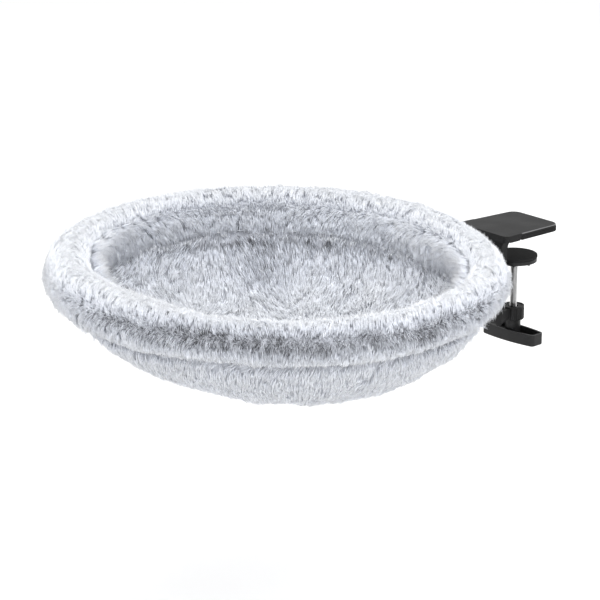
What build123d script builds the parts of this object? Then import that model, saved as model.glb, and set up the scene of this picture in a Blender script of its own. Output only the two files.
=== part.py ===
from build123d import *
from math import asin, atan2, cos, degrees, pi, radians, sin, tan
import os

# Desk cat bed: a padded fur bowl on an oval tube ring, carried on two bent
# tube arms by a screw clamp that grips the edge of a desk top.
# Millimetres, +Z up. +X runs along the desk edge, +Y points onto the desk.
# The origin is on the clamp screw's axis, in the face that rests on the desk.

os.makedirs("parts", exist_ok=True)

# Bed: the ring's centre line is an oval of four tangent arcs
bed_half_width = 229.0
bed_half_depth = 196.0
bed_end_share = 25 / 28
bed_reach = 333.9
bed_lift = 14.7
bed_droop = 2.5

# Padded ring
bolster_radius = 21.0
cover_thickness = 3.0
soft_gap = 0.3

# Hanging bowl, measured down from the ring's centre line
bowl_depth = 106.0
seat_depth = 84.0
base_end_radius = 15.0

# Steel tubes
tube_radius = 8.0
tube_wall = 1.5
arm_spacing = 38.0
arm_bend_radius = 40.0
arm_rise_angle = 60.0

# Clamp
jaw_opening = 28.0
jaw_travel = 48.0
plate_length = 83.0
plate_overhang = 33.0
plate_desk_half_width = 35.0
plate_bed_half_width = 38.6
plate_thickness = 7.5
spine_thickness = 9.0
spine_half_width = 19.0
spine_foot_half_width = 11.0
disc_throat_gap = 4.0
screw_radius = 4.0
disc_radius = 25.0
handle_half_length = 37.0
handle_half_width = 12.0
handle_angle = 3.5

# Fits
thread_clearance = 0.1
pivot_clearance = 0.08
seat_clearance = 0.3
hole_clearance = 0.1
stop_clearance = 0.6
cut_overrun = 1.0

bed_end_radius = bed_end_share * bed_half_depth
bowl_base_inset = bed_end_radius - base_end_radius
throat_depth = disc_radius + disc_throat_gap


# Plate pad: rubber tray pulled over the underside of the top plate
pad_floor = 2.0
pad_rim_height = 4.4
pad_rim_wall = 1.4
pad_proud = 0.4
desk_corner_radius = 11.0
bed_corner_radius = 6.0
edge_chamfer = 0.8
neck_fillet = 3.0
pad_start = -throat_depth + neck_fillet
plate_bed_end = plate_overhang - plate_length


def plate_half_width(y):
    """Half the top plate's width at a place along it."""
    share = (plate_overhang - y) / plate_length
    return plate_desk_half_width + share * (plate_bed_half_width - plate_desk_half_width)


def plate_outline(grow, near_end, near_radius):
    """The plate's plan, grown all round, from its desk end back to near_end."""
    far_end = plate_overhang + grow
    far_half = plate_half_width(plate_overhang) + grow
    near_half = plate_half_width(near_end) + grow
    with BuildSketch() as outline:
        with BuildLine():
            Polyline(
                (-far_half, far_end),
                (far_half, far_end),
                (near_half, near_end),
                (-near_half, near_end),
                close=True,
            )
        make_face()
        corners = outline.vertices()
        fillet(corners.group_by(Axis.Y)[-1], desk_corner_radius + grow)
        if near_radius > 0:
            fillet(outline.vertices().group_by(Axis.Y)[0], near_radius)
    return outline.sketch


with BuildPart() as plate_pad:
    add(plate_outline(pad_proud, pad_start, 0))
    extrude(amount=pad_rim_height)
    with BuildSketch(Plane.XY.offset(pad_floor)):
        add(plate_outline(pad_proud - pad_rim_wall, pad_start - cut_overrun, 0))
    extrude(amount=pad_rim_height, mode=Mode.SUBTRACT)
    pad_edges = plate_pad.edges().group_by(Axis.Z)[0].filter_by(
        lambda edge: edge.center().Y > pad_start + pad_floor
    )
    chamfer(pad_edges, edge_chamfer / 2)

# Pressure disc: ribbed foot that swivels on the screw's pin
disc_pad_thickness = 2.8
disc_plate_thickness = 4.4
disc_step = 0.5
disc_groove = 0.7
disc_hub_radius = 8.0
disc_hub_height = 2.6
disc_rib_count = 8
disc_rib_thickness = 1.8
disc_edge = 1.2
pin_step = 1.0
retainer_radius = 5.6
retainer_thickness = 1.2
retainer_recess = 2.2
retainer_slots = 3
pin_radius = screw_radius - pin_step
disc_top = -jaw_opening
disc_plate_top = disc_top - disc_pad_thickness
disc_plate_bottom = disc_plate_top - disc_plate_thickness
disc_hub_bottom = disc_plate_bottom - disc_hub_height
disc_body_radius = disc_radius - disc_step

with BuildPart() as pressure_disc:
    with BuildSketch(Plane.XZ):
        with BuildLine():
            Polyline(
                (0, disc_plate_top),
                (disc_body_radius - disc_groove, disc_plate_top),
                (disc_body_radius - disc_groove, disc_plate_top - disc_groove),
                (disc_body_radius, disc_plate_top - disc_groove),
                (disc_body_radius, disc_plate_bottom),
                (disc_hub_radius, disc_plate_bottom),
                (disc_hub_radius, disc_hub_bottom),
                (0, disc_hub_bottom),
                close=True,
            )
        make_face()
    revolve(axis=Axis.Z)
    outer_edges = pressure_disc.edges().filter_by(GeomType.CIRCLE)
    fillet(outer_edges.filter_by_position(Axis.Z, disc_plate_bottom, disc_plate_bottom)[-1], disc_edge)
    rib_length = disc_body_radius - disc_edge - disc_groove - disc_hub_radius
    with BuildSketch(Plane.XY.offset(disc_plate_bottom)):
        with PolarLocations(disc_hub_radius + rib_length / 2, disc_rib_count):
            Rectangle(rib_length + disc_rib_thickness, disc_rib_thickness)
    extrude(amount=-disc_hub_height / 2)
    with BuildSketch(Plane.XY.offset(disc_plate_top)):
        Circle(pin_radius + pivot_clearance)
    extrude(amount=2 * disc_hub_bottom, mode=Mode.SUBTRACT)
    with BuildSketch(Plane.XY.offset(disc_plate_top)):
        Circle(retainer_radius + seat_clearance)
    extrude(amount=-retainer_recess, mode=Mode.SUBTRACT)

with BuildPart() as disc_pad:
    with BuildSketch(Plane.XY.offset(disc_plate_top)):
        Circle(disc_radius)
    extrude(amount=disc_pad_thickness)
    fillet(disc_pad.edges().group_by(Axis.Z)[-1], disc_edge / 2)

# Neck and spine: one casting whose sides flare out under the plate like a trumpet,
# and draw in below the sockets towards the foot
neck_drop = 8.0
neck_flare = 14.0
neck_flare_angle = 80.0
socket_height = -45.0
socket_wall = 4.0
socket_radius = tube_radius + hole_clearance + socket_wall
spine_bed_face = -throat_depth - spine_thickness
boss_dish_depth = 0.8
boss_height = 15.4
boss_proud = 1.4
boss_top = disc_hub_bottom - jaw_travel - stop_clearance + boss_dish_depth
boss_bottom = boss_top - boss_height
lower_arm_top = boss_top - boss_proud
spine_bottom = boss_bottom
lower_arm_thickness = 7.0
spine_foot_radius = 7.0
throat_fillet = 8.0
throat_bow_share = 1.5
neck_root = pad_floor - neck_fillet
flare_x = spine_half_width + neck_flare * (1 - cos(radians(neck_flare_angle)))
flare_z = neck_flare * sin(radians(neck_flare_angle)) - neck_flare
spine_taper_top = socket_height - socket_radius

with BuildPart() as neck_form:
    with BuildSketch(Plane.YZ):
        with BuildLine():
            Line((plate_bed_end, plate_thickness), (pad_start, plate_thickness))
            Line((pad_start, plate_thickness), (pad_start, pad_floor))
            RadiusArc((pad_start, pad_floor), (-throat_depth, neck_root), -neck_fillet)
            Line((-throat_depth, neck_root), (-throat_depth, spine_bottom))
            Line((-throat_depth, spine_bottom), (spine_bed_face, spine_bottom))
            Line((spine_bed_face, spine_bottom), (spine_bed_face, -neck_drop))
            Line((plate_bed_end, 0), (plate_bed_end, plate_thickness))
            TangentArc((spine_bed_face, -neck_drop), (plate_bed_end, 0), tangent=(0, 1))
        make_face()
    extrude(amount=plate_bed_half_width, both=True)
    with BuildSketch(Plane.XZ.offset(throat_depth - cut_overrun)):
        with BuildLine():
            Line((spine_foot_half_width, spine_bottom), (spine_half_width, spine_taper_top))
            Line((spine_half_width, spine_taper_top), (spine_half_width, -neck_flare))
            TangentArc((spine_half_width, -neck_flare), (flare_x, flare_z), tangent=(0, 1))
            Line((flare_x, flare_z), (flare_x, 0))
            Line((flare_x, 0), (plate_bed_half_width, 0))
            Line((plate_bed_half_width, 0), (plate_bed_half_width, plate_thickness))
            Line((plate_bed_half_width, plate_thickness), (0, plate_thickness))
            Line((0, plate_thickness), (0, spine_bottom))
            Line((0, spine_bottom), (spine_foot_half_width, spine_bottom))
        make_face()
        mirror(about=Plane.YZ)
    extrude(amount=plate_length, both=True, mode=Mode.INTERSECT)
    with BuildSketch(Plane.XY.offset(spine_bottom - cut_overrun)):
        add(plate_outline(0, plate_bed_end, bed_corner_radius))
    extrude(amount=plate_thickness - spine_bottom + 2 * cut_overrun, mode=Mode.INTERSECT)
    foot_edges = neck_form.edges().filter_by(Axis.X).group_by(Axis.Z)[0]
    fillet(foot_edges.sort_by(Axis.Y)[0], spine_foot_radius)

# Lower arm: a web that tapers from the spine to the nut boss
web_half_width = 5.5
web_lead_share = 0.35
boss_radius = 12.0
spine_middle = -throat_depth - spine_thickness / 2
gusset_top = lower_arm_top + throat_fillet
gusset_end = -throat_depth + throat_fillet

with BuildPart() as lower_arm_form:
    with BuildSketch(Plane.YZ):
        with BuildLine():
            Line((spine_middle, gusset_top), (-throat_depth, gusset_top))
            throat_bow = -throat_bow_share * throat_fillet
            RadiusArc((-throat_depth, gusset_top), (gusset_end, lower_arm_top), throat_bow)
            Polyline(
                (gusset_end, lower_arm_top),
                (0, lower_arm_top),
                (0, lower_arm_top - lower_arm_thickness),
                (-throat_depth, spine_bottom),
                (spine_middle, spine_bottom),
                (spine_middle, gusset_top),
            )
        make_face()
    extrude(amount=spine_half_width, both=True)
    with BuildSketch(Plane.XY.offset(spine_bottom - cut_overrun)):
        with BuildLine():
            Line((0, spine_middle), (spine_foot_half_width, spine_middle))
            Line((spine_foot_half_width, spine_middle), (spine_foot_half_width, -throat_depth))
            TangentArc(
                (spine_foot_half_width, -throat_depth),
                (web_half_width, -boss_radius),
                tangent=(-web_lead_share, 1),
            )
            Line((web_half_width, -boss_radius), (web_half_width, 0))
            Line((web_half_width, 0), (0, 0))
            Line((0, 0), (0, spine_middle))
        make_face()
        mirror(about=Plane.YZ)
    extrude(amount=-spine_bottom, mode=Mode.INTERSECT)

# Nut boss: fluted like a knurled nut, open on top round the screw
boss_edge = 1.6
boss_rim_wall = 1.5
flute_count = 12
flute_radius = 1.6
insert_wall = 2.5
insert_length = 11.0
screw_window = 1.2
insert_radius = screw_radius + insert_wall

with BuildPart() as boss_form:
    with BuildSketch(Plane.XY.offset(boss_bottom)):
        Circle(boss_radius)
    extrude(amount=boss_height)
    fillet(boss_form.edges().group_by(Axis.Z)[0], boss_edge)
    with BuildSketch(Plane.XY.offset(boss_bottom - cut_overrun)):
        with PolarLocations(boss_radius + flute_radius / 2, flute_count):
            Circle(flute_radius)
    extrude(amount=boss_height - boss_dish_depth, mode=Mode.SUBTRACT)
    with BuildSketch(Plane.XY.offset(boss_top)):
        Circle(boss_radius - boss_rim_wall)
    extrude(amount=-boss_dish_depth, mode=Mode.SUBTRACT)

# Sockets: two round bosses joined by a web, on the spine's bed side
socket_length = 36.0
socket_floor = 3.0
socket_pocket_width = 11.0
socket_pocket_depth = 7.0
socket_pocket_wall = 5.0
gusset_thickness = 8.0
gusset_reach_share = 0.8
gusset_bow_share = 1.6
arm_bolt_radius = 3.0
arm_washer_radius = 6.2
arm_washer_thickness = 1.2
bolt_pad_height = 1.0
socket_end = spine_bed_face - socket_length
arm_bolt_y = spine_bed_face - socket_length / 2
gusset_foot = spine_bottom + spine_foot_radius
gusset_tip = spine_bed_face - gusset_reach_share * socket_length
gusset_root = socket_height - socket_radius
pocket_length = socket_length - 2 * socket_pocket_wall
socket_places = [(-arm_spacing / 2, 0), (arm_spacing / 2, 0)]

with BuildPart() as clamp_frame:
    with BuildSketch(Plane.XY.offset(pad_rim_height)):
        add(plate_outline(0, plate_bed_end, bed_corner_radius))
    extrude(amount=plate_thickness - pad_rim_height)
    chamfer(clamp_frame.edges().group_by(Axis.Z)[-1], edge_chamfer)
    with BuildSketch(Plane.XY.offset(pad_floor)):
        add(plate_outline(pad_proud - pad_rim_wall, pad_start - cut_overrun, 0))
    extrude(amount=plate_thickness / 2)
    add(neck_form.part)
    add(lower_arm_form.part)
    add(boss_form.part)
    with BuildSketch(Plane.XZ.offset(throat_depth + spine_thickness / 2)):
        with Locations((0, socket_height)):
            SlotCenterToCenter(arm_spacing, 2 * socket_radius)
    extrude(amount=socket_length + spine_thickness / 2)
    fillet(clamp_frame.faces().sort_by(Axis.Y)[0].edges(), socket_wall / 4)
    with BuildSketch(Plane.YZ):
        with BuildLine():
            Line((spine_middle, gusset_foot), (spine_bed_face, gusset_foot))
            gusset_bow = -gusset_bow_share * socket_length
            RadiusArc((spine_bed_face, gusset_foot), (gusset_tip, gusset_root), gusset_bow)
            Line((gusset_tip, gusset_root), (gusset_tip, socket_height - tube_radius))
            Line((gusset_tip, socket_height - tube_radius), (spine_middle, socket_height - tube_radius))
            Line((spine_middle, socket_height - tube_radius), (spine_middle, gusset_foot))
        make_face()
    extrude(amount=gusset_thickness / 2, both=True)
    with BuildSketch(Plane.XY.offset(socket_height)):
        with Locations((0, arm_bolt_y)):
            with Locations(*socket_places):
                Circle(arm_washer_radius + bolt_pad_height)
    extrude(amount=socket_radius + bolt_pad_height, both=True)
    with BuildSketch(Plane.XZ.offset(-socket_end)):
        with Locations((0, socket_height)):
            with Locations(*socket_places):
                Circle(tube_radius + hole_clearance)
    extrude(amount=-(socket_length - socket_floor), mode=Mode.SUBTRACT)
    with BuildSketch(Plane.XY.offset(socket_height + socket_radius)):
        with Locations((0, arm_bolt_y)):
            RectangleRounded(socket_pocket_width, pocket_length, socket_pocket_wall / 2)
    extrude(amount=-socket_pocket_depth, mode=Mode.SUBTRACT)
    with BuildSketch(Plane.XY.offset(socket_height)):
        with Locations((0, arm_bolt_y)):
            with Locations(*socket_places):
                Circle(arm_bolt_radius + hole_clearance)
    extrude(amount=2 * socket_radius, both=True, mode=Mode.SUBTRACT)
    with BuildSketch(Plane.XY.offset(boss_bottom - cut_overrun)):
        Circle(screw_radius + screw_window)
    extrude(amount=boss_height + 2 * cut_overrun, mode=Mode.SUBTRACT)
    with BuildSketch(Plane.XY.offset(boss_bottom - cut_overrun)):
        Circle(insert_radius)
    extrude(amount=insert_length + cut_overrun, mode=Mode.SUBTRACT)

# Thread insert: steel bush pressed into the boss from below
with BuildPart() as thread_insert:
    with BuildSketch(Plane.XY.offset(boss_bottom)):
        Circle(insert_radius)
        Circle(screw_radius + thread_clearance, mode=Mode.SUBTRACT)
    extrude(amount=insert_length)

# Clamp screw: rod with a turned pin on top and a tapped hole below
hub_height = 9.5
handle_height = 13.4
handle_web = 2.0
handle_recess = 3.6
handle_screw_radius = 2.5
handle_screw_depth = 12.0
screw_end_chamfer = 0.8
hub_top = boss_bottom - seat_clearance
handle_bottom = hub_top - hub_height - handle_height
handle_web_bottom = handle_bottom + handle_recess
screw_bottom = handle_web_bottom + handle_web + hole_clearance
screw_shoulder = disc_hub_bottom - seat_clearance
pin_top = disc_plate_top - seat_clearance

with BuildPart() as clamp_screw:
    with BuildSketch(Plane.XY.offset(screw_bottom)):
        Circle(screw_radius)
    extrude(amount=screw_shoulder - screw_bottom)
    chamfer(clamp_screw.edges(), screw_end_chamfer)
    with BuildSketch(Plane.XY.offset(screw_shoulder)):
        Circle(pin_radius)
    extrude(amount=pin_top - screw_shoulder)
    with BuildSketch(Plane.XY.offset(screw_bottom)):
        Circle(handle_screw_radius + hole_clearance)
    extrude(amount=handle_screw_depth, mode=Mode.SUBTRACT)

with BuildPart() as disc_retainer:
    with BuildSketch(Plane.XY.offset(disc_plate_top - retainer_recess + seat_clearance)):
        Circle(retainer_radius)
        Circle(pin_radius, mode=Mode.SUBTRACT)
        slit_length = retainer_radius - pin_radius
        with PolarLocations((retainer_radius + pin_radius) / 2, retainer_slots):
            Rectangle(slit_length / 2, retainer_thickness, mode=Mode.SUBTRACT)
    extrude(amount=retainer_thickness)

# T-handle: moulded wing with a dished top and a ribbed hub
handle_wall = 1.8
handle_tip_half_width = 8.6
handle_tip_radius = 4.4
handle_edge = 1.6
handle_floor_share = 0.62
hub_radius = 8.2
hub_rib = 1.2
hub_rib_proud = 0.6
hub_rib_count = 4
hub_rib_turn = -28.0
tray_depth = handle_height - handle_recess - handle_web
tray_reach = handle_half_length - handle_wall
tray_deep = handle_height - tray_depth
tray_shallow = tray_deep + handle_floor_share * tray_depth


def handle_outline(inset):
    """The wing seen from above: bowed sides and rounded ends."""
    with BuildSketch() as outline:
        with BuildLine():
            reach = handle_half_length - inset
            tip = handle_tip_half_width - inset
            middle = handle_half_width - inset
            ThreePointArc((-reach, tip), (0, middle), (reach, tip))
            Line((reach, tip), (reach, -tip))
            ThreePointArc((reach, -tip), (0, -middle), (-reach, -tip))
            Line((-reach, -tip), (-reach, tip))
        make_face()
        fillet(outline.vertices(), handle_tip_radius - inset)
    return outline.sketch


with BuildPart() as handle_tray:
    add(handle_outline(handle_wall))
    extrude(amount=handle_height + cut_overrun)
    with BuildSketch(Plane.XZ):
        with BuildLine():
            ThreePointArc((-tray_reach, tray_shallow), (0, tray_deep), (tray_reach, tray_shallow))
            Polyline(
                (tray_reach, tray_shallow),
                (tray_reach, handle_height + cut_overrun),
                (-tray_reach, handle_height + cut_overrun),
                (-tray_reach, tray_shallow),
            )
        make_face()
    extrude(amount=handle_half_width, both=True, mode=Mode.INTERSECT)

with BuildPart() as handle_form:
    add(handle_outline(0))
    extrude(amount=handle_height)
    fillet(handle_form.edges().group_by(Axis.Z)[0], handle_edge)
    add(handle_tray.part, mode=Mode.SUBTRACT)
    rim_edges = handle_form.edges().group_by(Axis.Z)[-1]
    fillet(rim_edges, handle_wall / 4)
    with BuildSketch(Plane.XY.offset(handle_recess)):
        Circle(hub_radius)
        with PolarLocations(hub_radius, hub_rib_count, start_angle=hub_rib_turn):
            Rectangle(2 * hub_rib_proud, hub_rib)
    extrude(amount=hub_top - handle_bottom - handle_recess)
    with BuildSketch(Plane.XY.offset(handle_recess + handle_web)):
        Circle(screw_radius + hole_clearance)
    extrude(amount=hub_top - handle_bottom, mode=Mode.SUBTRACT)
    with BuildSketch():
        Circle(arm_washer_radius + hole_clearance)
    extrude(amount=handle_recess, mode=Mode.SUBTRACT)
    with BuildSketch():
        Circle(handle_screw_radius + hole_clearance)
    extrude(amount=handle_height, mode=Mode.SUBTRACT)

with BuildPart() as t_handle:
    with Locations(Location((0, 0, handle_bottom), (0, 0, handle_angle))):
        add(handle_form.part)

# Handle screw and washer: hold the handle on the rod from below
handle_washer_thickness = 1.0
handle_head_radius = 4.6
handle_head_height = 2.4
handle_socket_radius = 1.7

with BuildPart() as handle_washer:
    with BuildSketch(Plane.XY.offset(handle_web_bottom)):
        Circle(arm_washer_radius - hole_clearance)
        Circle(handle_screw_radius + hole_clearance, mode=Mode.SUBTRACT)
    extrude(amount=-handle_washer_thickness)

with BuildPart() as handle_screw:
    head_top = handle_web_bottom - handle_washer_thickness
    with BuildSketch(Plane.XY.offset(head_top)):
        Circle(handle_head_radius)
    extrude(amount=-handle_head_height)
    fillet(handle_screw.edges().group_by(Axis.Z)[0], handle_head_height / 3)
    with BuildSketch(Plane.XY.offset(head_top)):
        Circle(handle_screw_radius)
    extrude(amount=handle_screw_depth)
    with BuildSketch(Plane.XY.offset(head_top - handle_head_height)):
        RegularPolygon(handle_socket_radius, 6)
    extrude(amount=handle_head_height / 2, mode=Mode.SUBTRACT)

# Bed frame plane: the ring's centre line lies in it, tipped down away from the desk
bed_plane = Plane(
    origin=(0, -bed_reach, bed_lift),
    x_dir=(1, 0, 0),
    z_dir=(0, -sin(radians(bed_droop)), cos(radians(bed_droop))),
)
end_centre = bed_half_width - bed_end_radius
bed_side_radius = (end_centre**2 + bed_half_depth**2 - bed_end_radius**2) / (
    2 * (bed_half_depth - bed_end_radius)
)
side_centre = bed_side_radius - bed_half_depth
end_angle = 90 - degrees(atan2(end_centre, side_centre))
oval_arcs = [
    ((end_centre, 0), bed_end_radius, -end_angle, end_angle),
    ((0, -side_centre), bed_side_radius, end_angle, 180 - end_angle),
    ((-end_centre, 0), bed_end_radius, 180 - end_angle, 180 + end_angle),
    ((0, side_centre), bed_side_radius, 180 + end_angle, 360 - end_angle),
    ((end_centre, 0), bed_end_radius, 360 - end_angle, 360 + end_angle),
]


def oval_path(start, finish):
    """The ring's centre line between two directions, in degrees from +X."""
    with BuildLine(bed_plane) as path:
        for centre, radius, first, last in oval_arcs:
            low = max(start, first)
            high = min(finish, last)
            if high > low:
                CenterArc(centre, radius, low, high - low)
    return path.wire()


def oval_point(angle):
    """The place on the centre line that faces a direction."""
    for centre, radius, first, last in oval_arcs:
        if first <= angle <= last:
            turn = radians(angle)
            return (centre[0] + radius * cos(turn), centre[1] + radius * sin(turn))


def station(angle):
    """A plane across the ring: x points outwards, y up."""
    turn = radians(angle)
    flat = Plane.XY
    place = oval_point(angle)
    local = Plane(origin=(*place, 0), x_dir=(cos(turn), sin(turn), 0), z_dir=(sin(turn), -cos(turn), 0))
    return Plane(bed_plane.location * local.location)


def oval_face(inset):
    """The flat oval inside the ring, moved in from its centre line."""
    with BuildSketch() as face:
        with BuildLine():
            for centre, radius, first, last in oval_arcs[:4]:
                CenterArc(centre, radius - inset, first, last - first)
        make_face()
    return face.sketch


# Ring tube: two halves, the front half swaged at both ends to plug into the rear
spigot_length = 34.0
spigot_wall = 1.6
swage_length = 8.0
spigot_clearance = 0.1
tube_bore_radius = tube_radius - tube_wall
degrees_per_mm = 180 / (pi * bed_end_radius)
ring_screw_radius = 2.0
ring_screw_head_radius = 3.8
ring_screw_head_height = 2.4
ring_screw_angle = spigot_length / 2 * degrees_per_mm
ring_screw_angles = [ring_screw_angle, 180 - ring_screw_angle]


def underside_axis(angle):
    """A plane at the ring's centre line whose normal points down out of the bed."""
    down = Plane(bed_plane.location * Location((*oval_point(angle), 0)))
    return Plane(origin=down.origin, x_dir=down.x_dir, z_dir=-down.z_dir)


with BuildPart() as ring_tube_rear:
    with BuildSketch(station(0)):
        Circle(tube_radius)
        Circle(tube_bore_radius, mode=Mode.SUBTRACT)
    sweep(path=oval_path(0, 180))
    for angle in ring_screw_angles:
        with BuildSketch(underside_axis(angle)):
            Circle(ring_screw_radius + hole_clearance)
        extrude(amount=tube_radius + cut_overrun, mode=Mode.SUBTRACT)

with BuildPart() as ring_tube_front:
    with BuildSketch(station(180)):
        Circle(tube_radius)
        Circle(tube_bore_radius, mode=Mode.SUBTRACT)
    sweep(path=oval_path(180, 360))
    swage_angle = swage_length * degrees_per_mm
    spigot_angle = spigot_length * degrees_per_mm
    for first, last in ((180, 180 + swage_angle), (360 - swage_angle, 360)):
        with BuildSketch(station(first)):
            Circle(tube_bore_radius + tube_wall / 2)
            Circle(tube_bore_radius - spigot_wall, mode=Mode.SUBTRACT)
        sweep(path=oval_path(first, last))
    for first, last in ((180 - spigot_angle, 180), (0, spigot_angle)):
        with BuildSketch(station(first)):
            Circle(tube_bore_radius - spigot_clearance)
            Circle(tube_bore_radius - spigot_wall, mode=Mode.SUBTRACT)
        sweep(path=oval_path(first, last))
    for angle in ring_screw_angles:
        with BuildSketch(underside_axis(angle)):
            Circle(ring_screw_radius + hole_clearance)
        extrude(amount=tube_radius + cut_overrun, mode=Mode.SUBTRACT)

with BuildPart() as ring_joint_screws:
    for angle in ring_screw_angles:
        with BuildSketch(underside_axis(angle).offset(tube_bore_radius - spigot_wall)):
            Circle(ring_screw_radius)
        extrude(amount=tube_wall + spigot_wall)
        with BuildSketch(underside_axis(angle).offset(tube_radius)):
            Circle(ring_screw_head_radius)
        extrude(amount=ring_screw_head_height)

# Support arms: bent tubes from the sockets up to the rear of the ring
arm_weld_gap = 2.0
arm_end_gap = 1.0


def arm_form(side, grow, reach_in):
    """One arm's outer form, grown all round."""
    x = side * arm_spacing / 2
    across = radians(90 - degrees(asin(abs(x) / bed_side_radius)))
    rear = bed_side_radius * sin(across) - side_centre
    droop = radians(bed_droop)
    ring_y = -bed_reach + rear * cos(droop)
    ring_z = bed_lift + rear * sin(droop)
    rise = radians(arm_rise_angle)
    corner_y = ring_y + (ring_z - socket_height) / tan(rise)
    with BuildPart() as form:
        with BuildLine(Plane.YZ.offset(x)) as route:
            FilletPolyline(
                (spine_bed_face - socket_floor - arm_end_gap, socket_height),
                (corner_y, socket_height),
                (ring_y + reach_in * cos(rise), ring_z - reach_in * sin(rise)),
                radius=arm_bend_radius,
            )
        with BuildSketch(Plane(origin=route.wire() @ 0, z_dir=route.wire() % 0)):
            Circle(tube_radius + grow)
        sweep(path=route.wire())
    return form.part


with BuildPart() as ring_core:
    with BuildSketch(station(0)):
        Circle(tube_radius)
    sweep(path=oval_path(0, 180))


def support_arm(side):
    with BuildPart() as arm:
        add(arm_form(side, 0, arm_weld_gap))
        add(arm_form(side, -tube_wall, arm_weld_gap), mode=Mode.SUBTRACT)
        add(ring_core.part, mode=Mode.SUBTRACT)
        with BuildSketch(Plane.XY.offset(socket_height)):
            with Locations((side * arm_spacing / 2, arm_bolt_y)):
                Circle(arm_bolt_radius + hole_clearance)
        extrude(amount=2 * tube_radius, both=True, mode=Mode.SUBTRACT)
    return arm


support_arm_left = support_arm(-1)
support_arm_right = support_arm(1)

# Arm bolts, washers and nuts: clamp each arm in its socket
bolt_head_radius = 5.6
bolt_head_height = 4.0
nut_height = 5.0
bolt_tail = 2.0
pad_face = socket_radius + bolt_pad_height

with BuildPart() as arm_washers:
    for side in (1, -1):
        with BuildSketch(Plane.XY.offset(socket_height + side * pad_face)):
            with Locations((0, arm_bolt_y)):
                with Locations(*socket_places):
                    Circle(arm_washer_radius)
                    Circle(arm_bolt_radius + hole_clearance, mode=Mode.SUBTRACT)
        extrude(amount=side * arm_washer_thickness)

with BuildPart() as arm_bolts:
    head_seat = socket_height + pad_face + arm_washer_thickness
    nut_seat = socket_height - pad_face - arm_washer_thickness
    with BuildSketch(Plane.XY.offset(head_seat)):
        with Locations((0, arm_bolt_y)):
            with Locations(*socket_places):
                RegularPolygon(bolt_head_radius, 6)
    extrude(amount=bolt_head_height)
    with BuildSketch(Plane.XY.offset(nut_seat - nut_height - bolt_tail)):
        with Locations((0, arm_bolt_y)):
            with Locations(*socket_places):
                Circle(arm_bolt_radius)
    extrude(amount=head_seat - nut_seat + nut_height + bolt_tail)

with BuildPart() as arm_nuts:
    with BuildSketch(Plane.XY.offset(nut_seat)):
        with Locations((0, arm_bolt_y)):
            with Locations(*socket_places):
                RegularPolygon(bolt_head_radius, 6)
                Circle(arm_bolt_radius, mode=Mode.SUBTRACT)
    extrude(amount=-nut_height)

# Padded ring: wadding round the tube inside a sewn cover, slotted for the arms
arm_slot = 1.6
padding_radius = bolster_radius - cover_thickness - soft_gap

with BuildPart() as arm_slots:
    for side in (-1, 1):
        add(arm_form(side, arm_slot, 0))

with BuildPart() as bolster_cover:
    with BuildSketch(station(0)):
        Circle(bolster_radius)
        Circle(bolster_radius - cover_thickness, mode=Mode.SUBTRACT)
    sweep(path=oval_path(0, 360))
    add(arm_slots.part, mode=Mode.SUBTRACT)

with BuildPart() as bolster_padding:
    with BuildSketch(station(0)):
        Circle(padding_radius)
        Circle(tube_radius + soft_gap, mode=Mode.SUBTRACT)
    sweep(path=oval_path(0, 360))
    add(arm_slots.part, mode=Mode.SUBTRACT)
    for angle in ring_screw_angles:
        with BuildSketch(underside_axis(angle)):
            Circle(ring_screw_head_radius + soft_gap)
        extrude(amount=tube_radius + ring_screw_head_height + soft_gap, mode=Mode.SUBTRACT)

# Bowl sections, drawn across the ring: x is minus the inset, y the height
wall_top_inset = 3.0
wall_upper_shares = (0.085, 0.39)
wall_shoulder_shares = (0.19, 0.54)
wall_low_shares = (0.5, 0.83)
seat_top_inset = 14.0
seat_lip_shares = (0.1, 0.06)
seat_wall_shares = (0.22, 0.55)
seat_foot_shares = (0.44, 0.86)
seat_low_shares = (0.62, 0.965)
seat_floor_share = 0.84


def share_point(shares, depth):
    """A section point from its shares of the base's inset and a depth."""
    return (-shares[0] * bowl_base_inset, -shares[1] * depth)


def bowl_section(inset):
    """All that lies inside the bowl's outer wall, moved in by inset."""
    past_base = -bowl_base_inset - 2 * cover_thickness
    with BuildSketch() as section:
        with BuildLine():
            top = (-wall_top_inset, bolster_radius)
            crease = (-wall_top_inset, -bolster_radius)
            shoulder = share_point(wall_shoulder_shares, bowl_depth)
            base = (-bowl_base_inset, -bowl_depth)
            Line(top, crease)
            ThreePointArc(crease, share_point(wall_upper_shares, bowl_depth), shoulder)
            ThreePointArc(shoulder, share_point(wall_low_shares, bowl_depth), base)
            Polyline(base, (past_base, -bowl_depth), (past_base, bolster_radius), top)
        make_face()
        if inset:
            offset(amount=-inset)
        with Locations((bolster_radius, 0)):
            Rectangle(
                bowl_base_inset + bolster_radius,
                bowl_depth + bolster_radius,
                align=(Align.MAX, Align.MAX),
                mode=Mode.INTERSECT,
            )
    return section.sketch


def seat_section(grow):
    """The open space above the liner, grown by a thickness."""
    past_base = -bowl_base_inset - 2 * cover_thickness
    with BuildSketch() as section:
        with BuildLine():
            top = (-seat_top_inset, bolster_radius)
            lip = share_point(seat_lip_shares, seat_depth)
            foot = share_point(seat_foot_shares, seat_depth)
            floor = (-seat_floor_share * bowl_base_inset, -seat_depth)
            Line(top, lip)
            ThreePointArc(lip, share_point(seat_wall_shares, seat_depth), foot)
            ThreePointArc(foot, share_point(seat_low_shares, seat_depth), floor)
            Polyline(floor, (past_base, -seat_depth), (past_base, bolster_radius), top)
        make_face()
        if grow:
            offset(amount=grow)
        with Locations((0, bolster_radius / 2)):
            Rectangle(
                bowl_base_inset,
                bowl_depth + bolster_radius,
                align=(Align.MAX, Align.MAX),
                mode=Mode.INTERSECT,
            )
    return section.sketch


liner_underside = -seat_depth - cover_thickness
wadding_floor = -bowl_depth + cover_thickness + soft_gap

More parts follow.
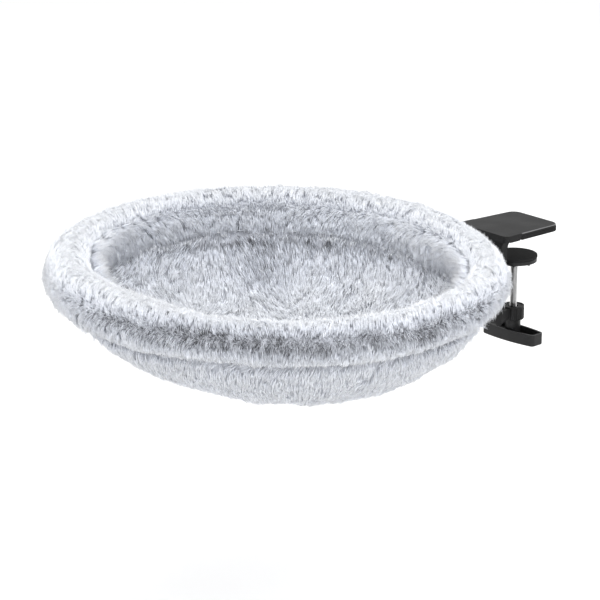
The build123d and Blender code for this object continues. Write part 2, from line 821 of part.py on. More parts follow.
with BuildPart() as outer_bowl_cover:
    with BuildSketch(station(0)):
        add(bowl_section(0))
        add(bowl_section(cover_thickness), mode=Mode.SUBTRACT)
        Circle(bolster_radius + soft_gap, mode=Mode.SUBTRACT)
    sweep(path=oval_path(0, 360))
    with BuildSketch(bed_plane.offset(-bowl_depth)):
        add(oval_face(bowl_base_inset))
    extrude(amount=cover_thickness)

with BuildPart() as bowl_padding:
    with BuildSketch(station(0)):
        add(bowl_section(cover_thickness + soft_gap))
        add(seat_section(cover_thickness + soft_gap), mode=Mode.SUBTRACT)
        Circle(bolster_radius + soft_gap, mode=Mode.SUBTRACT)
    sweep(path=oval_path(0, 360))
    with BuildSketch(bed_plane.offset(wadding_floor)):
        add(oval_face(bowl_base_inset))
    extrude(amount=liner_underside - soft_gap - wadding_floor)

with BuildPart() as inner_bowl_liner:
    with BuildSketch(station(0)):
        add(seat_section(cover_thickness))
        add(seat_section(0), mode=Mode.SUBTRACT)
        Circle(bolster_radius + soft_gap, mode=Mode.SUBTRACT)
    sweep(path=oval_path(0, 360))
    with BuildSketch(bed_plane.offset(liner_underside)):
        add(oval_face(bowl_base_inset))
    extrude(amount=cover_thickness)

# Cover zip: a curved tape under the rear of the ring, with its slider and pull
zip_start = 60.0
zip_end = 120.0
zip_top = -26.0
zip_width = 12.0
tape_thickness = 1.0
slider_length = 9.0
slider_thickness = 2.4
pull_width = 4.0
pull_length = 22.0
pull_thickness = 1.0


def zip_section(inner, outer, top, height):
    """A strip's section, lying on the outside of the bowl."""
    with BuildSketch() as section:
        add(bowl_section(-outer))
        add(bowl_section(-inner), mode=Mode.SUBTRACT)
        with Locations((-bolster_radius, top)):
            Rectangle(2 * bolster_radius, height, align=(Align.MIN, Align.MAX), mode=Mode.INTERSECT)
    return section.sketch


slider_arc = degrees(slider_length / bed_side_radius)
pull_arc = degrees(pull_width / bed_side_radius)
slider_start = zip_start + slider_arc / 2
slider_inset = zip_width / 4
slider_height = zip_width - 2 * slider_inset
pull_start = slider_start + (slider_arc - pull_arc) / 2
tape_face = soft_gap + tape_thickness
slider_face = tape_face + slider_thickness

with BuildPart() as zip_tape:
    with BuildSketch(station(zip_start)):
        add(zip_section(soft_gap, tape_face, zip_top, zip_width))
    sweep(path=oval_path(zip_start, zip_end))

with BuildPart() as zip_slider:
    with BuildSketch(station(slider_start)):
        add(zip_section(tape_face, slider_face, zip_top - slider_inset, slider_height))
    sweep(path=oval_path(slider_start, slider_start + slider_arc))

with BuildPart() as zip_pull:
    with BuildSketch(station(pull_start)):
        add(zip_section(slider_face, slider_face + pull_thickness, zip_top - zip_width / 2, pull_length))
    sweep(path=oval_path(pull_start, pull_start + pull_arc))

pieces = {
    "clamp_frame": clamp_frame,
    "plate_pad": plate_pad,
    "thread_insert": thread_insert,
    "pressure_disc": pressure_disc,
    "disc_pad": disc_pad,
    "clamp_screw": clamp_screw,
    "disc_retainer": disc_retainer,
    "t_handle": t_handle,
    "handle_washer": handle_washer,
    "handle_screw": handle_screw,
    "ring_tube_rear": ring_tube_rear,
    "ring_tube_front": ring_tube_front,
    "ring_joint_screws": ring_joint_screws,
    "support_arm_left": support_arm_left,
    "support_arm_right": support_arm_right,
    "arm_bolts": arm_bolts,
    "arm_washers": arm_washers,
    "arm_nuts": arm_nuts,
    "bolster_cover": bolster_cover,
    "bolster_padding": bolster_padding,
    "outer_bowl_cover": outer_bowl_cover,
    "bowl_padding": bowl_padding,
    "inner_bowl_liner": inner_bowl_liner,
    "zip_tape": zip_tape,
    "zip_slider": zip_slider,
    "zip_pull": zip_pull,
}
for name, piece in pieces.items():
    piece.part.label = name
    export_step(piece.part, f"parts/{name}.step")
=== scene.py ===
from math import atan2, cos, hypot, pi, radians, sin

import bpy
import numpy as np
from mathutils import Matrix, Vector


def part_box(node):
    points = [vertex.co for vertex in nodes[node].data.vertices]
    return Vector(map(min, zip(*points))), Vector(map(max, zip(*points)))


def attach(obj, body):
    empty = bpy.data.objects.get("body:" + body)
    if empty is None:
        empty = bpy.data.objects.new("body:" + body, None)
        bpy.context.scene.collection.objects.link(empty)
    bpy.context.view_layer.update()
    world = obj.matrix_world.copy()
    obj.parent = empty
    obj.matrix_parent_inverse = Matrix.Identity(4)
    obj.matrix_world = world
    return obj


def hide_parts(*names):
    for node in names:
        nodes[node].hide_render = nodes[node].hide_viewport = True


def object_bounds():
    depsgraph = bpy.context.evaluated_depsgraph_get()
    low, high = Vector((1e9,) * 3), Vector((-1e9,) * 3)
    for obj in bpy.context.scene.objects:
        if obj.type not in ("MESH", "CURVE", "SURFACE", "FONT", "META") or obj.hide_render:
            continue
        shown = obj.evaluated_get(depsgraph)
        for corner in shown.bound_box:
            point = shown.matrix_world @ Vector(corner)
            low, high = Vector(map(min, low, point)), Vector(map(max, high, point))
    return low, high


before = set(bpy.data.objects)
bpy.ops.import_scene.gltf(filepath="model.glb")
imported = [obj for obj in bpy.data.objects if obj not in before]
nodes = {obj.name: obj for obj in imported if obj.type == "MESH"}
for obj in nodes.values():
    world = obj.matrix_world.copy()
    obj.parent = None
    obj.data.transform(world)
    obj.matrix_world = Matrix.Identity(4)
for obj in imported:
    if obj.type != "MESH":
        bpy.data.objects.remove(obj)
cad_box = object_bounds()

# Clamp casting: top plate, flared neck, spine, lower arm and nut boss, cast in one
# piece of light metal and coated black. The coat has a fine grain, and the rounded
# upper edges carry a painted highlight.
casting_colour = (0.006, 0.006, 0.0063, 1)
casting_dust_colour = (0.022, 0.022, 0.0225, 1)
# Painted highlight on the rounded upper edges: its colour and its strength.
casting_highlight_colour = (0.19, 0.19, 0.195, 1)
casting_highlight_share = (0.3, 0.8)
casting_roughness = (0.42, 0.62)
casting_grain_size = 0.0007
casting_grain_depth = 0.00006
casting_cloud_size = 0.03
# Slopes of the face normals that get the painted highlight.
highlight_slopes = (0.35, 0.9)


class Wire:
    """One socket of a material, so that a sum on it can be written as a sum."""

    def __init__(self, paint, socket):
        self.paint = paint
        self.socket = socket

    def join(self, operation, first, second):
        return self.paint.node("Math", {"operation": operation}, {0: first, 1: second})

    def __add__(self, other):
        return self.join("ADD", self, other)

    def __radd__(self, other):
        return self.join("ADD", other, self)

    def __sub__(self, other):
        return self.join("SUBTRACT", self, other)

    def __rsub__(self, other):
        return self.join("SUBTRACT", other, self)

    def __mul__(self, other):
        return self.join("MULTIPLY", self, other)

    def __rmul__(self, other):
        return self.join("MULTIPLY", other, self)


class Paint:
    """One finish, on a Principled shader."""

    def __init__(self, name, sockets):
        self.material = bpy.data.materials.new(name)
        self.material.use_nodes = True
        self.tree = self.material.node_tree
        self.shader = self.tree.nodes["Principled BSDF"]
        for socket, value in sockets.items():
            self.feed(self.shader.inputs[socket], value)

    def feed(self, socket, value):
        if isinstance(value, Wire):
            self.tree.links.new(value.socket, socket)
        else:
            socket.default_value = value

    def node(self, kind, settings=(), values=(), output=0):
        """Adds a node: its settings first, then the values or links of its sockets."""
        node = self.tree.nodes.new("ShaderNode" + kind)
        for name, setting in dict(settings).items():
            if name == "stops":
                while len(node.color_ramp.elements) < len(setting):
                    node.color_ramp.elements.new(1)
                for stop, (place, colour) in zip(node.color_ramp.elements, setting):
                    stop.position = place
                    stop.color = colour
            else:
                setattr(node, name, setting)
        for socket, value in dict(values).items():
            self.feed(node.inputs[socket], value)
        return Wire(self, node.outputs[output])

    def place(self):
        """The piece's own coordinates, in metres."""
        return self.node("TexCoord", output=3)

    def share(self, name):
        """A number that a piece's mesh carries for each point or face."""
        return self.node("Attribute", {"attribute_name": name}, output=2)

    def speckle(self, size, detail=2.0):
        """Noise from 0 to 1 whose blotches are about size across."""
        values = {"Vector": self.place(), "Scale": 1 / size, "Detail": detail}
        return self.node("TexNoise", {}, values)

    def between(self, share, limits):
        """A number that goes from one limit to the other as share goes from 0 to 1."""
        return limits[0] + (limits[1] - limits[0]) * share

    def blend(self, share, first, second):
        """A colour between two others."""
        return self.node("Mix", {"data_type": "RGBA"}, {0: share, 6: first, 7: second}, output=2)

    def ramp(self, value, stops):
        """A colour picked from a row of stops, each a place from 0 to 1 and a colour."""
        return self.node("ValToRGB", {"stops": stops}, {0: value})

    def bump(self, height, depth, strength=1.0):
        values = {"Height": height, "Distance": depth, "Strength": strength}
        self.feed(self.shader.inputs["Normal"], self.node("Bump", {}, values))

    def colour(self, value):
        self.feed(self.shader.inputs["Base Color"], value)

    def roughness(self, value):
        self.feed(self.shader.inputs["Roughness"], value)

    def coat(self, *pieces):
        """Puts this finish on pieces, in place of what they had."""
        for piece in pieces:
            piece.data.materials.clear()
            piece.data.materials.append(self.material)


def paint_edge_highlights(piece):
    """Marks the rounded upper edges of a piece, which get a painted highlight."""
    low, high = highlight_slopes
    highlight = piece.data.attributes.new("edge_polish", "FLOAT", "FACE")
    marks = [float(low < face.normal.z < high) for face in piece.data.polygons]
    highlight.data.foreach_set("value", marks)


casting = Paint("moulded_casting", {"Specular IOR Level": 0.15})
casting_grain = casting.speckle(casting_grain_size, detail=3.0)
casting_cloud = casting.speckle(casting_cloud_size)
casting_face = casting.blend(casting_grain * casting_grain, casting_colour, casting_dust_colour)
# Painted highlight: the marked rounded upper edges are lightened.
casting_highlight = casting.share("edge_polish") * casting.between(casting_cloud, casting_highlight_share)
casting.colour(casting.blend(casting_highlight, casting_face, casting_highlight_colour))
casting.roughness(casting.between(casting_cloud, casting_roughness))
casting.bump(casting_grain, casting_grain_depth, strength=0.6)
casting.coat(nodes["clamp_frame"])
paint_edge_highlights(nodes["clamp_frame"])

# Desk pads: soft black rubber, a tray pulled over the top plate's underside and a
# disc bonded to the pressure foot. Both are matte, with a faint bloom.
rubber_colour = (0.006, 0.006, 0.006, 1)
rubber_bloom_colour = (0.016, 0.016, 0.0165, 1)
rubber_roughness = (0.62, 0.87)
rubber_bloom_size = 0.008
rubber_grain_size = 0.0005
rubber_grain_depth = 0.00003
rubber = Paint("pad_rubber", {"Specular IOR Level": 0.12})
rubber_cloud = rubber.speckle(rubber_bloom_size, detail=4.0)
rubber.colour(rubber.blend(rubber_cloud, rubber_colour, rubber_bloom_colour))
rubber.roughness(rubber.between(rubber_cloud, rubber_roughness))
rubber.bump(rubber.speckle(rubber_grain_size), rubber_grain_depth)
rubber.coat(nodes["plate_pad"], nodes["disc_pad"])

# Pressure foot and wing handle: injection moulded black nylon, smoother than the
# casting, with a painted highlight on the rounded upper edges.
nylon_colour = (0.006, 0.006, 0.0063, 1)
nylon_worn_colour = (0.014, 0.014, 0.0145, 1)
# Painted highlight on the rounded upper edges: its colour and its strength.
nylon_highlight_colour = (0.12, 0.12, 0.125, 1)
nylon_highlight_share = (0.2, 0.7)
nylon_roughness = (0.36, 0.52)
nylon_cloud_size = 0.012
nylon_grain_size = 0.0006
nylon_grain_depth = 0.00003
nylon = Paint("moulded_nylon", {"Specular IOR Level": 0.24})
nylon_cloud = nylon.speckle(nylon_cloud_size, detail=4.0)
nylon_face = nylon.blend(nylon_cloud, nylon_colour, nylon_worn_colour)
# Painted highlight: the marked rounded upper edges are lightened.
nylon_highlight = nylon.share("edge_polish") * nylon.between(nylon_cloud, nylon_highlight_share)
nylon.colour(nylon.blend(nylon_highlight, nylon_face, nylon_highlight_colour))
nylon.roughness(nylon.between(nylon_cloud, nylon_roughness))
nylon.bump(nylon.speckle(nylon_grain_size), nylon_grain_depth, strength=0.5)
nylon.coat(nodes["pressure_disc"], nodes["t_handle"])
paint_edge_highlights(nodes["pressure_disc"])
paint_edge_highlights(nodes["t_handle"])

# Clamp screw: an M8 steel rod with a rolled thread, zinc plated, and a turned pin
# on top that the pressure foot swivels on. It replaces the plain rod of the frame.
screw_low, screw_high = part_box("clamp_screw")
disc_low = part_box("pressure_disc")[0]
thread_pitch = 0.00125
thread_depth = 0.00077
thread_steps = 20
thread_start = 0.002
crest_shares = (0.42, 0.54)
foot_share = 0.96
foot_sink_share = 0.1
thread_weld_share = 0.002
rod_radius = (screw_high.x - screw_low.x) / 2
root_radius = rod_radius - thread_depth
rod_sides = 32
rod_foot_gap = 0.0008
rod_lap = 0.0006
pin_radius = 0.003
pin_lap = 0.0005
pin_low = disc_low.z - 0.0003
collar_length = 0.003
rim_width = 0.0004
rim_steps = 2
thread_low = screw_low.z + thread_start
thread_high = pin_low - collar_length
# Painted shade in the thread's roots: the colour is dark at the root and bright at the crest.
thread_root_shade_stops = ((0.0, (0.06, 0.06, 0.062, 1)), (0.6, (0.88, 0.88, 0.88, 1)))
thread_roughness = (0.42, 0.26)
thread_grime_size = 0.003
thread_grime_share = 0.15


def pick(piece):
    """Selects one piece and nothing else."""
    bpy.ops.object.select_all(action="DESELECT")
    bpy.context.view_layer.objects.active = piece
    piece.select_set(True)


def edit_whole(piece):
    """Opens a piece in edit mode with all of it selected."""
    pick(piece)
    bpy.ops.object.mode_set(mode="EDIT")
    bpy.ops.mesh.select_all(action="SELECT")


def leave_edit():
    """Points all faces outwards and leaves edit mode."""
    bpy.ops.mesh.select_all(action="SELECT")
    bpy.ops.mesh.normals_make_consistent(inside=False)
    bpy.ops.object.mode_set(mode="OBJECT")


def add_rod(name, radius, low, high):
    """A round bar on the screw's axis."""
    middle = (0, 0, (low + high) / 2)
    bpy.ops.object.select_all(action="DESELECT")
    bpy.ops.mesh.primitive_cylinder_add(
        vertices=rod_sides, radius=radius, depth=high - low, location=middle
    )
    rod = bpy.context.object
    rod.name = name
    return rod


def apply_all(piece):
    """Applies a piece's modifiers, first to last."""
    pick(piece)
    for modifier in list(piece.modifiers):
        bpy.ops.object.modifier_apply(modifier=modifier.name)
    return piece


def join_pieces(name, pieces):
    """One piece made of several that are fixed to each other, with its place in its mesh."""
    bpy.ops.object.select_all(action="DESELECT")
    for piece in pieces:
        piece.select_set(True)
    bpy.context.view_layer.objects.active = pieces[0]
    bpy.ops.object.join()
    pieces[0].name = name
    pick(pieces[0])
    bpy.ops.object.transform_apply(location=True, rotation=True, scale=True)
    return pieces[0]


def bevel_rims(piece):
    """Rounds the sharp edges of a turned piece."""
    bevel = piece.modifiers.new("rims", "BEVEL")
    bevel.width = rim_width
    bevel.segments = rim_steps
    bevel.limit_method = "ANGLE"
    return apply_all(piece)


def smooth(piece, angle=180):
    """Smooth shading, but for edges sharper than the angle in degrees."""
    pick(piece)
    bpy.ops.object.shade_smooth_by_angle(angle=radians(angle))
    return piece


def put_mesh(name, mesh):
    """An object that shows a new mesh."""
    piece = bpy.data.objects.new(name, mesh)
    bpy.context.collection.objects.link(piece)
    return piece


def draw_section(name, points, closed):
    """A line through points, to be wound or spun into a skin."""
    edges = [(i, i + 1) for i in range(len(points) - 1)]
    if closed:
        edges.append((len(points) - 1, 0))
    mesh = bpy.data.meshes.new(name)
    mesh.from_pydata(points, edges, [])
    return put_mesh(name, mesh)


def wind_thread(name):
    """The thread's ridge: one flank-and-crest section wound up the rod."""
    foot = root_radius - thread_pitch * foot_sink_share
    section = [
        (foot, 0, thread_low),
        (rod_radius, 0, thread_low + thread_pitch * crest_shares[0]),
        (rod_radius, 0, thread_low + thread_pitch * crest_shares[1]),
        (foot, 0, thread_low + thread_pitch * foot_share),
    ]
    ridge = draw_section(name, section, True)
    wind = ridge.modifiers.new("wind", "SCREW")
    wind.screw_offset = thread_pitch
    wind.iterations = int((thread_high - thread_low) / thread_pitch)
    wind.steps = thread_steps
    wind.render_steps = thread_steps
    edit_whole(apply_all(ridge))
    bpy.ops.mesh.remove_doubles(threshold=thread_pitch * thread_weld_share)
    bpy.ops.mesh.select_all(action="DESELECT")
    bpy.ops.mesh.select_non_manifold(extend=False)
    bpy.ops.mesh.edge_face_add()
    leave_edit()
    return ridge


thread = Paint("rolled_thread", {"Metallic": 1.0, "Specular IOR Level": 0.5})
thread_across, thread_along = (
    thread.node("SeparateXYZ", {}, {0: thread.place()}, output) for output in (0, 1)
)
thread_reach = thread_across * thread_across + thread_along * thread_along
thread_rise = (thread_reach - root_radius**2) * (1 / (rod_radius**2 - root_radius**2))
thread_grime = thread_grime_share * thread.speckle(thread_grime_size, detail=4.0)
# Painted shade: the thread is coloured darker towards its roots.
thread.colour(thread.ramp(thread_rise - thread_grime, thread_root_shade_stops))
thread.roughness(thread.between(thread_rise, thread_roughness))

core = add_rod("rod_core", root_radius, screw_low.z + rod_foot_gap, thread_high + rod_lap)
collar = bevel_rims(add_rod("rod_collar", rod_radius, thread_high, pin_low))
pin = bevel_rims(add_rod("rod_pin", pin_radius, pin_low - pin_lap, screw_high.z))
rod = smooth(join_pieces("threaded_rod", [core, collar, pin, wind_thread("rod_ridge")]), angle=40)
thread.coat(rod)
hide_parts("clamp_screw")
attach(rod, "screw")

# Bright fasteners and fittings: bolts, nuts, washers, clip, zip slider and pull in
# zinc plated steel, and the bush that carries the thread. All are CAD nodes.
steel_dull_colour = (0.36, 0.37, 0.38, 1)
steel_bright_colour = (0.66, 0.66, 0.67, 1)
steel_roughness = (0.24, 0.46)
steel_cloud_size = 0.004
steel_grain_size = 0.0004
steel_grain_depth = 0.00001
steel = Paint("zinc_plated_steel", {"Metallic": 1.0, "Specular IOR Level": 0.5})
steel_cloud = steel.speckle(steel_cloud_size, detail=5.0)
steel.colour(steel.blend(steel_cloud, steel_dull_colour, steel_bright_colour))
steel.roughness(steel.between(steel_cloud, steel_roughness))
steel.bump(steel.speckle(steel_grain_size), steel_grain_depth)
for name in (
    "thread_insert", "disc_retainer", "handle_washer", "handle_screw", "ring_joint_screws",
    "arm_bolts", "arm_washers", "arm_nuts", "zip_slider", "zip_pull",
):
    steel.coat(nodes[name])

# Ring and arms: round steel tube, bent, welded and powder coated in satin black
# with the slight orange peel of the powder.
powder_colour = (0.020, 0.020, 0.021, 1)
powder_peak_colour = (0.034, 0.034, 0.035, 1)
powder_roughness = (0.38, 0.52)
powder_peel_size = 0.0014
powder_peel_depth = 0.00005
powder = Paint("powder_coat", {"Specular IOR Level": 0.5})
powder_peel = powder.speckle(powder_peel_size)
powder.colour(powder.blend(powder_peel, powder_colour, powder_peak_colour))
powder.roughness(powder.between(powder_peel, powder_roughness))
powder.bump(powder_peel, powder_peel_depth)
for name in ("ring_tube_rear", "ring_tube_front", "support_arm_left", "support_arm_right"):
    powder.coat(nodes[name])

# Padded ring: a tube of faux fur sewn round a sleeve of wadding, which is pulled
# over the steel ring. The backing cloth is grey, and the pile is planted in it.
cover_low, cover_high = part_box("bolster_cover")
ring_droop = radians(2.5)
bolster_radius = 0.021
cover_thickness = 0.003
cover_gap = 0.0004
wadding_bore = 0.0105
skin_sides = 28
bore_sides = 20
ring_end_radius = 0.175
ring_place = (cover_low + cover_high) / 2
ring_half_width = (cover_high.x - cover_low.x) / 2 - bolster_radius
ring_half_depth = ((cover_high.y - cover_low.y) / 2 - bolster_radius) / cos(ring_droop)
end_centre = ring_half_width - ring_end_radius
side_radius = (end_centre**2 + ring_half_depth**2 - ring_end_radius**2) / (
    2 * (ring_half_depth - ring_end_radius)
)
side_centre = side_radius - ring_half_depth
end_angle = atan2(side_centre, end_centre)
bed_matrix = Matrix.Translation(ring_place) @ Matrix.Rotation(ring_droop, 4, "X")
end_steps = 44
side_steps = 40
ring_arcs = [
    ((end_centre, 0, 0), 2 * end_angle, end_steps),
    ((0, -side_centre, 0), pi - 2 * end_angle, side_steps),
    ((-end_centre, 0, 0), 2 * end_angle, end_steps),
    ((0, side_centre, 0), pi - 2 * end_angle, side_steps),
]
weld_distance = 0.0002
tiny = 1e-9

# The ring is thinner and hangs lower at the front: the middle, end and full turns of
# each, how much, and how far beyond the ring the bowl's cloths still follow.
slack_reach = (radians(0), radians(78), radians(60))
sag_reach = (radians(-32), radians(45), radians(18))
slack_thin = 0.0042
slack_sag = 0.0020
slack_fade = 0.016

wadding_shade_colour = (0.70, 0.70, 0.69, 1)
wadding_light_colour = (0.90, 0.90, 0.89, 1)
wadding_tuft_size = 0.006
wadding_tuft_depth = 0.0008
backing_dark_colour = (0.33, 0.345, 0.385, 1)
backing_light_colour = (0.50, 0.515, 0.56, 1)
backing_knit_size = 0.003
backing_knit_depth = 0.001
ring_lump_size = 0.035
ring_lump_depth = 0.0016


def spin_round(name, points, closed):
    """Carries a section of (outwards, up) points round the ring's four arcs."""
    corners = []
    for out, up in points:
        reach = ring_end_radius + out
        corners.append((end_centre + reach * cos(end_angle), -reach * sin(end_angle), up))
    skin = draw_section(name, corners, closed)
    edit_whole(skin)
    for centre, turn, steps in ring_arcs:
        bpy.ops.mesh.spin(steps=steps, angle=turn, center=centre, axis=(0, 0, -1))
    bpy.ops.mesh.select_all(action="SELECT")
    bpy.ops.mesh.remove_doubles(threshold=weld_distance)
    leave_edit()
    return skin


def turn_inside_out(piece):
    edit_whole(piece)
    bpy.ops.mesh.flip_normals()
    bpy.ops.object.mode_set(mode="OBJECT")
    return piece


def circle_points(radius, count):
    turns = [2 * pi * i / count for i in range(count)]
    return [(radius * cos(turn), radius * sin(turn)) for turn in turns]


def unit(vectors):
    return vectors / np.maximum(np.linalg.norm(vectors, axis=-1, keepdims=True), tiny)


def bell(distance, width):
    """1 at nought, and falling away smoothly on both sides."""
    return np.exp(-((distance / width) ** 2))


def bearing(flat):
    """The turn of points of the bed round its middle."""
    return np.arctan2(flat[:, 1], flat[:, 0])


def one_quarter(flat):
    """Points folded into one quarter of the bed, and which of them a long arc faces."""
    across, along = np.abs(flat[:, 0]), np.abs(flat[:, 1])
    return across, along, np.arctan2(along + side_centre, across) > end_angle


def ring_offset(flat):
    """How far points of the bed lie outside the ring's centre line, seen from above."""
    across, along, beside = one_quarter(flat)
    side = np.hypot(across, along + side_centre) - side_radius
    end = np.hypot(across - end_centre, along) - ring_end_radius
    return np.where(beside, side, end)


def ring_outwards(flat):
    """The way straight out from the ring's centre line at points of the bed."""
    across, along, beside = one_quarter(flat)
    way = np.zeros_like(flat)
    way[:, 0] = np.where(beside, across, across - end_centre) * np.sign(flat[:, 0])
    way[:, 1] = np.where(beside, along + side_centre, along) * np.sign(flat[:, 1])
    return unit(way)


def facing_share(flat, middle, end, full):
    """1 where the ring faces the way named by middle, falling to 0 at end."""
    turn = bearing(flat) - middle
    return np.clip((np.cos(turn) - cos(end)) / (cos(full) - cos(end)), 0, 1)


def read_rows(items, field, kind=float):
    """Three numbers for each item of a mesh, such as its vertices' places."""
    rows = np.empty(len(items) * 3, kind)
    items.foreach_get(field, rows)
    return rows.reshape(-1, 3)


def slacken(piece):
    """Thins the ring and lets it sag at the front, and the bowl's edge with it."""
    flat = read_rows(piece.data.vertices, "co")
    beyond = np.maximum(np.hypot(ring_offset(flat), flat[:, 2]) - bolster_radius, 0)
    hold = bell(beyond, slack_fade)
    thin = hold * slack_thin / bolster_radius * facing_share(flat, *slack_reach)
    flat[:, 2] -= thin * flat[:, 2] + hold * slack_sag * facing_share(flat, *sag_reach)
    flat -= (thin * ring_offset(flat))[:, None] * ring_outwards(flat)
    piece.data.vertices.foreach_set("co", flat.ravel())
    piece.data.update()


def padded_sleeve(name, outer, inner):
    """A sleeve round the ring with a bore, in the bed's place."""
    skin = spin_round(name, circle_points(outer, skin_sides), True)
    bore = spin_round(name + "_bore", circle_points(inner, bore_sides), True)
    sleeve = join_pieces(name, [skin, turn_inside_out(bore)])
    slacken(sleeve)
    sleeve.data.transform(bed_matrix)
    return sleeve


def soften(piece, size, depth):
    """Gives a stuffed piece the slight lumps of its filling."""
    lumps = bpy.data.textures.new(piece.name + "_lumps", "CLOUDS")
    lumps.noise_scale = size
    press = piece.modifiers.new("lumps", "DISPLACE")
    press.texture = lumps
    press.strength = depth
    return apply_all(piece)


wadding = Paint("fibre_wadding", {"Roughness": 0.95, "Specular IOR Level": 0.2})
wadding_tuft = wadding.speckle(wadding_tuft_size, detail=6.0)
wadding.colour(wadding.blend(wadding_tuft, wadding_shade_colour, wadding_light_colour))
wadding.bump(wadding_tuft, wadding_tuft_depth)

sleeve_wadding = padded_sleeve("ring_wadding", bolster_radius - cover_thickness - cover_gap, wadding_bore)
wadding.coat(smooth(sleeve_wadding))
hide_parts("bolster_padding")
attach(sleeve_wadding, "clamp")

backing = Paint("fur_backing", {"Roughness": 0.95, "Specular IOR Level": 0.2})
backing_knit = backing.speckle(backing_knit_size, detail=4.0)
backing.colour(backing.blend(backing_knit, backing_dark_colour, backing_light_colour))
backing.bump(backing_knit, backing_knit_depth)

ring_cover = padded_sleeve("bolster_backing", bolster_radius, bolster_radius - cover_thickness)
soften(ring_cover, ring_lump_size, ring_lump_depth)
backing.coat(smooth(ring_cover))
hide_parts("bolster_cover")
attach(ring_cover, "clamp")

# Pile of the ring: soft polyester fibre in locks, grey at the root and nearly white
# at the tip. It parts above the ring's equator, where the dark roots show, and on
# the inner side it hangs over the seam with the liner.
fur_dark = (0.075, 0.078, 0.088, 1)
fur_root = (0.50, 0.525, 0.585, 1)
fur_middle = (0.80, 0.83, 0.90, 1)
fur_tip = (0.93, 0.95, 0.985, 1)
fur_stops = ((0.0, fur_dark), (0.22, fur_root), (0.45, fur_middle), (0.8, fur_tip))
fur_start_light = 0.30
fur_tip_light = 0.56
fur_patch_light = 0.16
fur_patch_size = 0.05
fur_gloss = {"Roughness": 0.75, "Specular IOR Level": 0.25}
fur_sheen = {"Sheen Weight": 0.25, "Sheen Roughness": 0.5}

fur = Paint("grey_faux_fur", fur_gloss | fur_sheen)
fur_patch = fur_patch_light * fur.speckle(fur_patch_size)
fur_light = fur_start_light + fur_tip_light * fur.share("pile_share") + fur_patch
# Each strand's shade mark darkens its whole colour: for its dark roots at a parting, and as painted shade
# and shadow at seams, creases and walls. The lock tone scales the colour, with random change and with
# painted light and shade that differ by cloth.
fur_colour = fur.ramp(fur_light - fur.share("root_shade"), fur_stops)
fur_tone = {0: fur_colour, "Scale": fur.share("lock_tone")}
fur.colour(fur.node("VectorMath", {"operation": "SCALE"}, fur_tone))

# A strand: its faces, with the foot 0, the bend 1 to 3 and the tip 4, how deep it is
# rooted, the bend's place and lean as shares of the whole, and how far the direction
# that its section is turned to leaves the cloth.
strand_faces = np.array([2, 1, 0, 3, 2, 0, 1, 3, 0, 1, 2, 4, 2, 3, 4, 3, 1, 4])
root_depth = 0.0006
bend_share = 0.45
rise_share = 0.86
side_tilt = 0.3

# A lock: how wide it spreads, how much its strands gather in towards the bend and
# the tip, how far they stray, and their chance in lean, length, tone and shade.
lock_spread = 0.9
bend_gather = 0.06
tip_gather = 0.24
stray_share = 0.028
bend_stray = 0.3
tip_stray = 0.7
strand_lean = 0.07
strand_length = 0.10
strand_tone = 0.05
strand_shade = 0.3

# From lock to lock: a slow drift, its size, and each lock's own chance.
turn_play = (0.30, 0.09, 0.08)
lean_play = (0.07, 0.03, 0.04)
reach_play = (0.08, 0.05, 0.08)
shade_play = (0.22, 0.02, 0.2)
lock_tone = 0.03
drift_waves = 5
drift_height = 2.4

# Where the pile parts, as the sine of its height on the ring's section outside and
# inside, how far the line wanders, and which part of the ring faces the front.
outer_parting = 0.38
inner_parting = 0.50
part_wander = 0.06
part_wander_size = 0.07
part_front = radians(-40)
to_bed = np.array(bed_matrix.inverted())


def drift(places, size, seed):
    """Smooth noise from about -1 to 1 in space, as a sum of slanted waves."""
    waves = np.random.default_rng(seed)
    total = np.zeros(len(places))
    for _ in range(drift_waves):
        slant = waves.normal(size=3)
        slant *= 2 * pi / (size * np.linalg.norm(slant))
        total += np.sin(places @ slant + waves.uniform(0, 2 * pi))
    return total / drift_height


def play(places, amounts, seed, chance):
    """What differs from lock to lock, by drift over the cloth and by chance."""
    slow, size, loose = amounts
    return slow * drift(places, size, seed) + chance.normal(0, loose, len(places))


class Spots:
    """Points of a cloth: where they lie on the flat bed and which way they face."""

    def __init__(self, places, normals):
        self.places = places
        self.flat = places @ to_bed[:3, :3].T + to_bed[:3, 3]
        self.facing = normals @ to_bed[:3, :3].T
        self.offset = ring_offset(self.flat)
        self.turn = bearing(self.flat)
        self.front = np.cos(self.turn - part_front)


def plant(cloth, grows, spacing, chance):
    """Spreads root points over a cloth: their places and the cloth's normals there."""
    mesh = cloth.data
    mesh.calc_loop_triangles()
    corners = read_rows(mesh.loop_triangles, "vertices", np.int32)
    places = read_rows(mesh.vertices, "co")
    normals = read_rows(mesh.vertex_normals, "vector")
    first, second, third = (places[corners[:, i]] for i in range(3))
    areas = np.linalg.norm(np.cross(second - first, third - first), axis=1) / 2
    areas *= grows(Spots((first + second + third) / 3, unit(normals[corners].sum(axis=1))))
    count = int(areas.sum() / spacing**2)
    steps = (np.arange(count) + chance.random(count)) * areas.sum() / count
    picks = np.minimum(np.searchsorted(np.cumsum(areas), steps), len(areas) - 1)
    across = np.sqrt(chance.random((count, 1)))
    along = chance.random((count, 1))
    shares = np.stack([1 - across, across * (1 - along), across * along], axis=1)
    roots = (places[corners[picks]] * shares).sum(axis=1)
    return roots, unit((normals[corners[picks]] * shares).sum(axis=1))


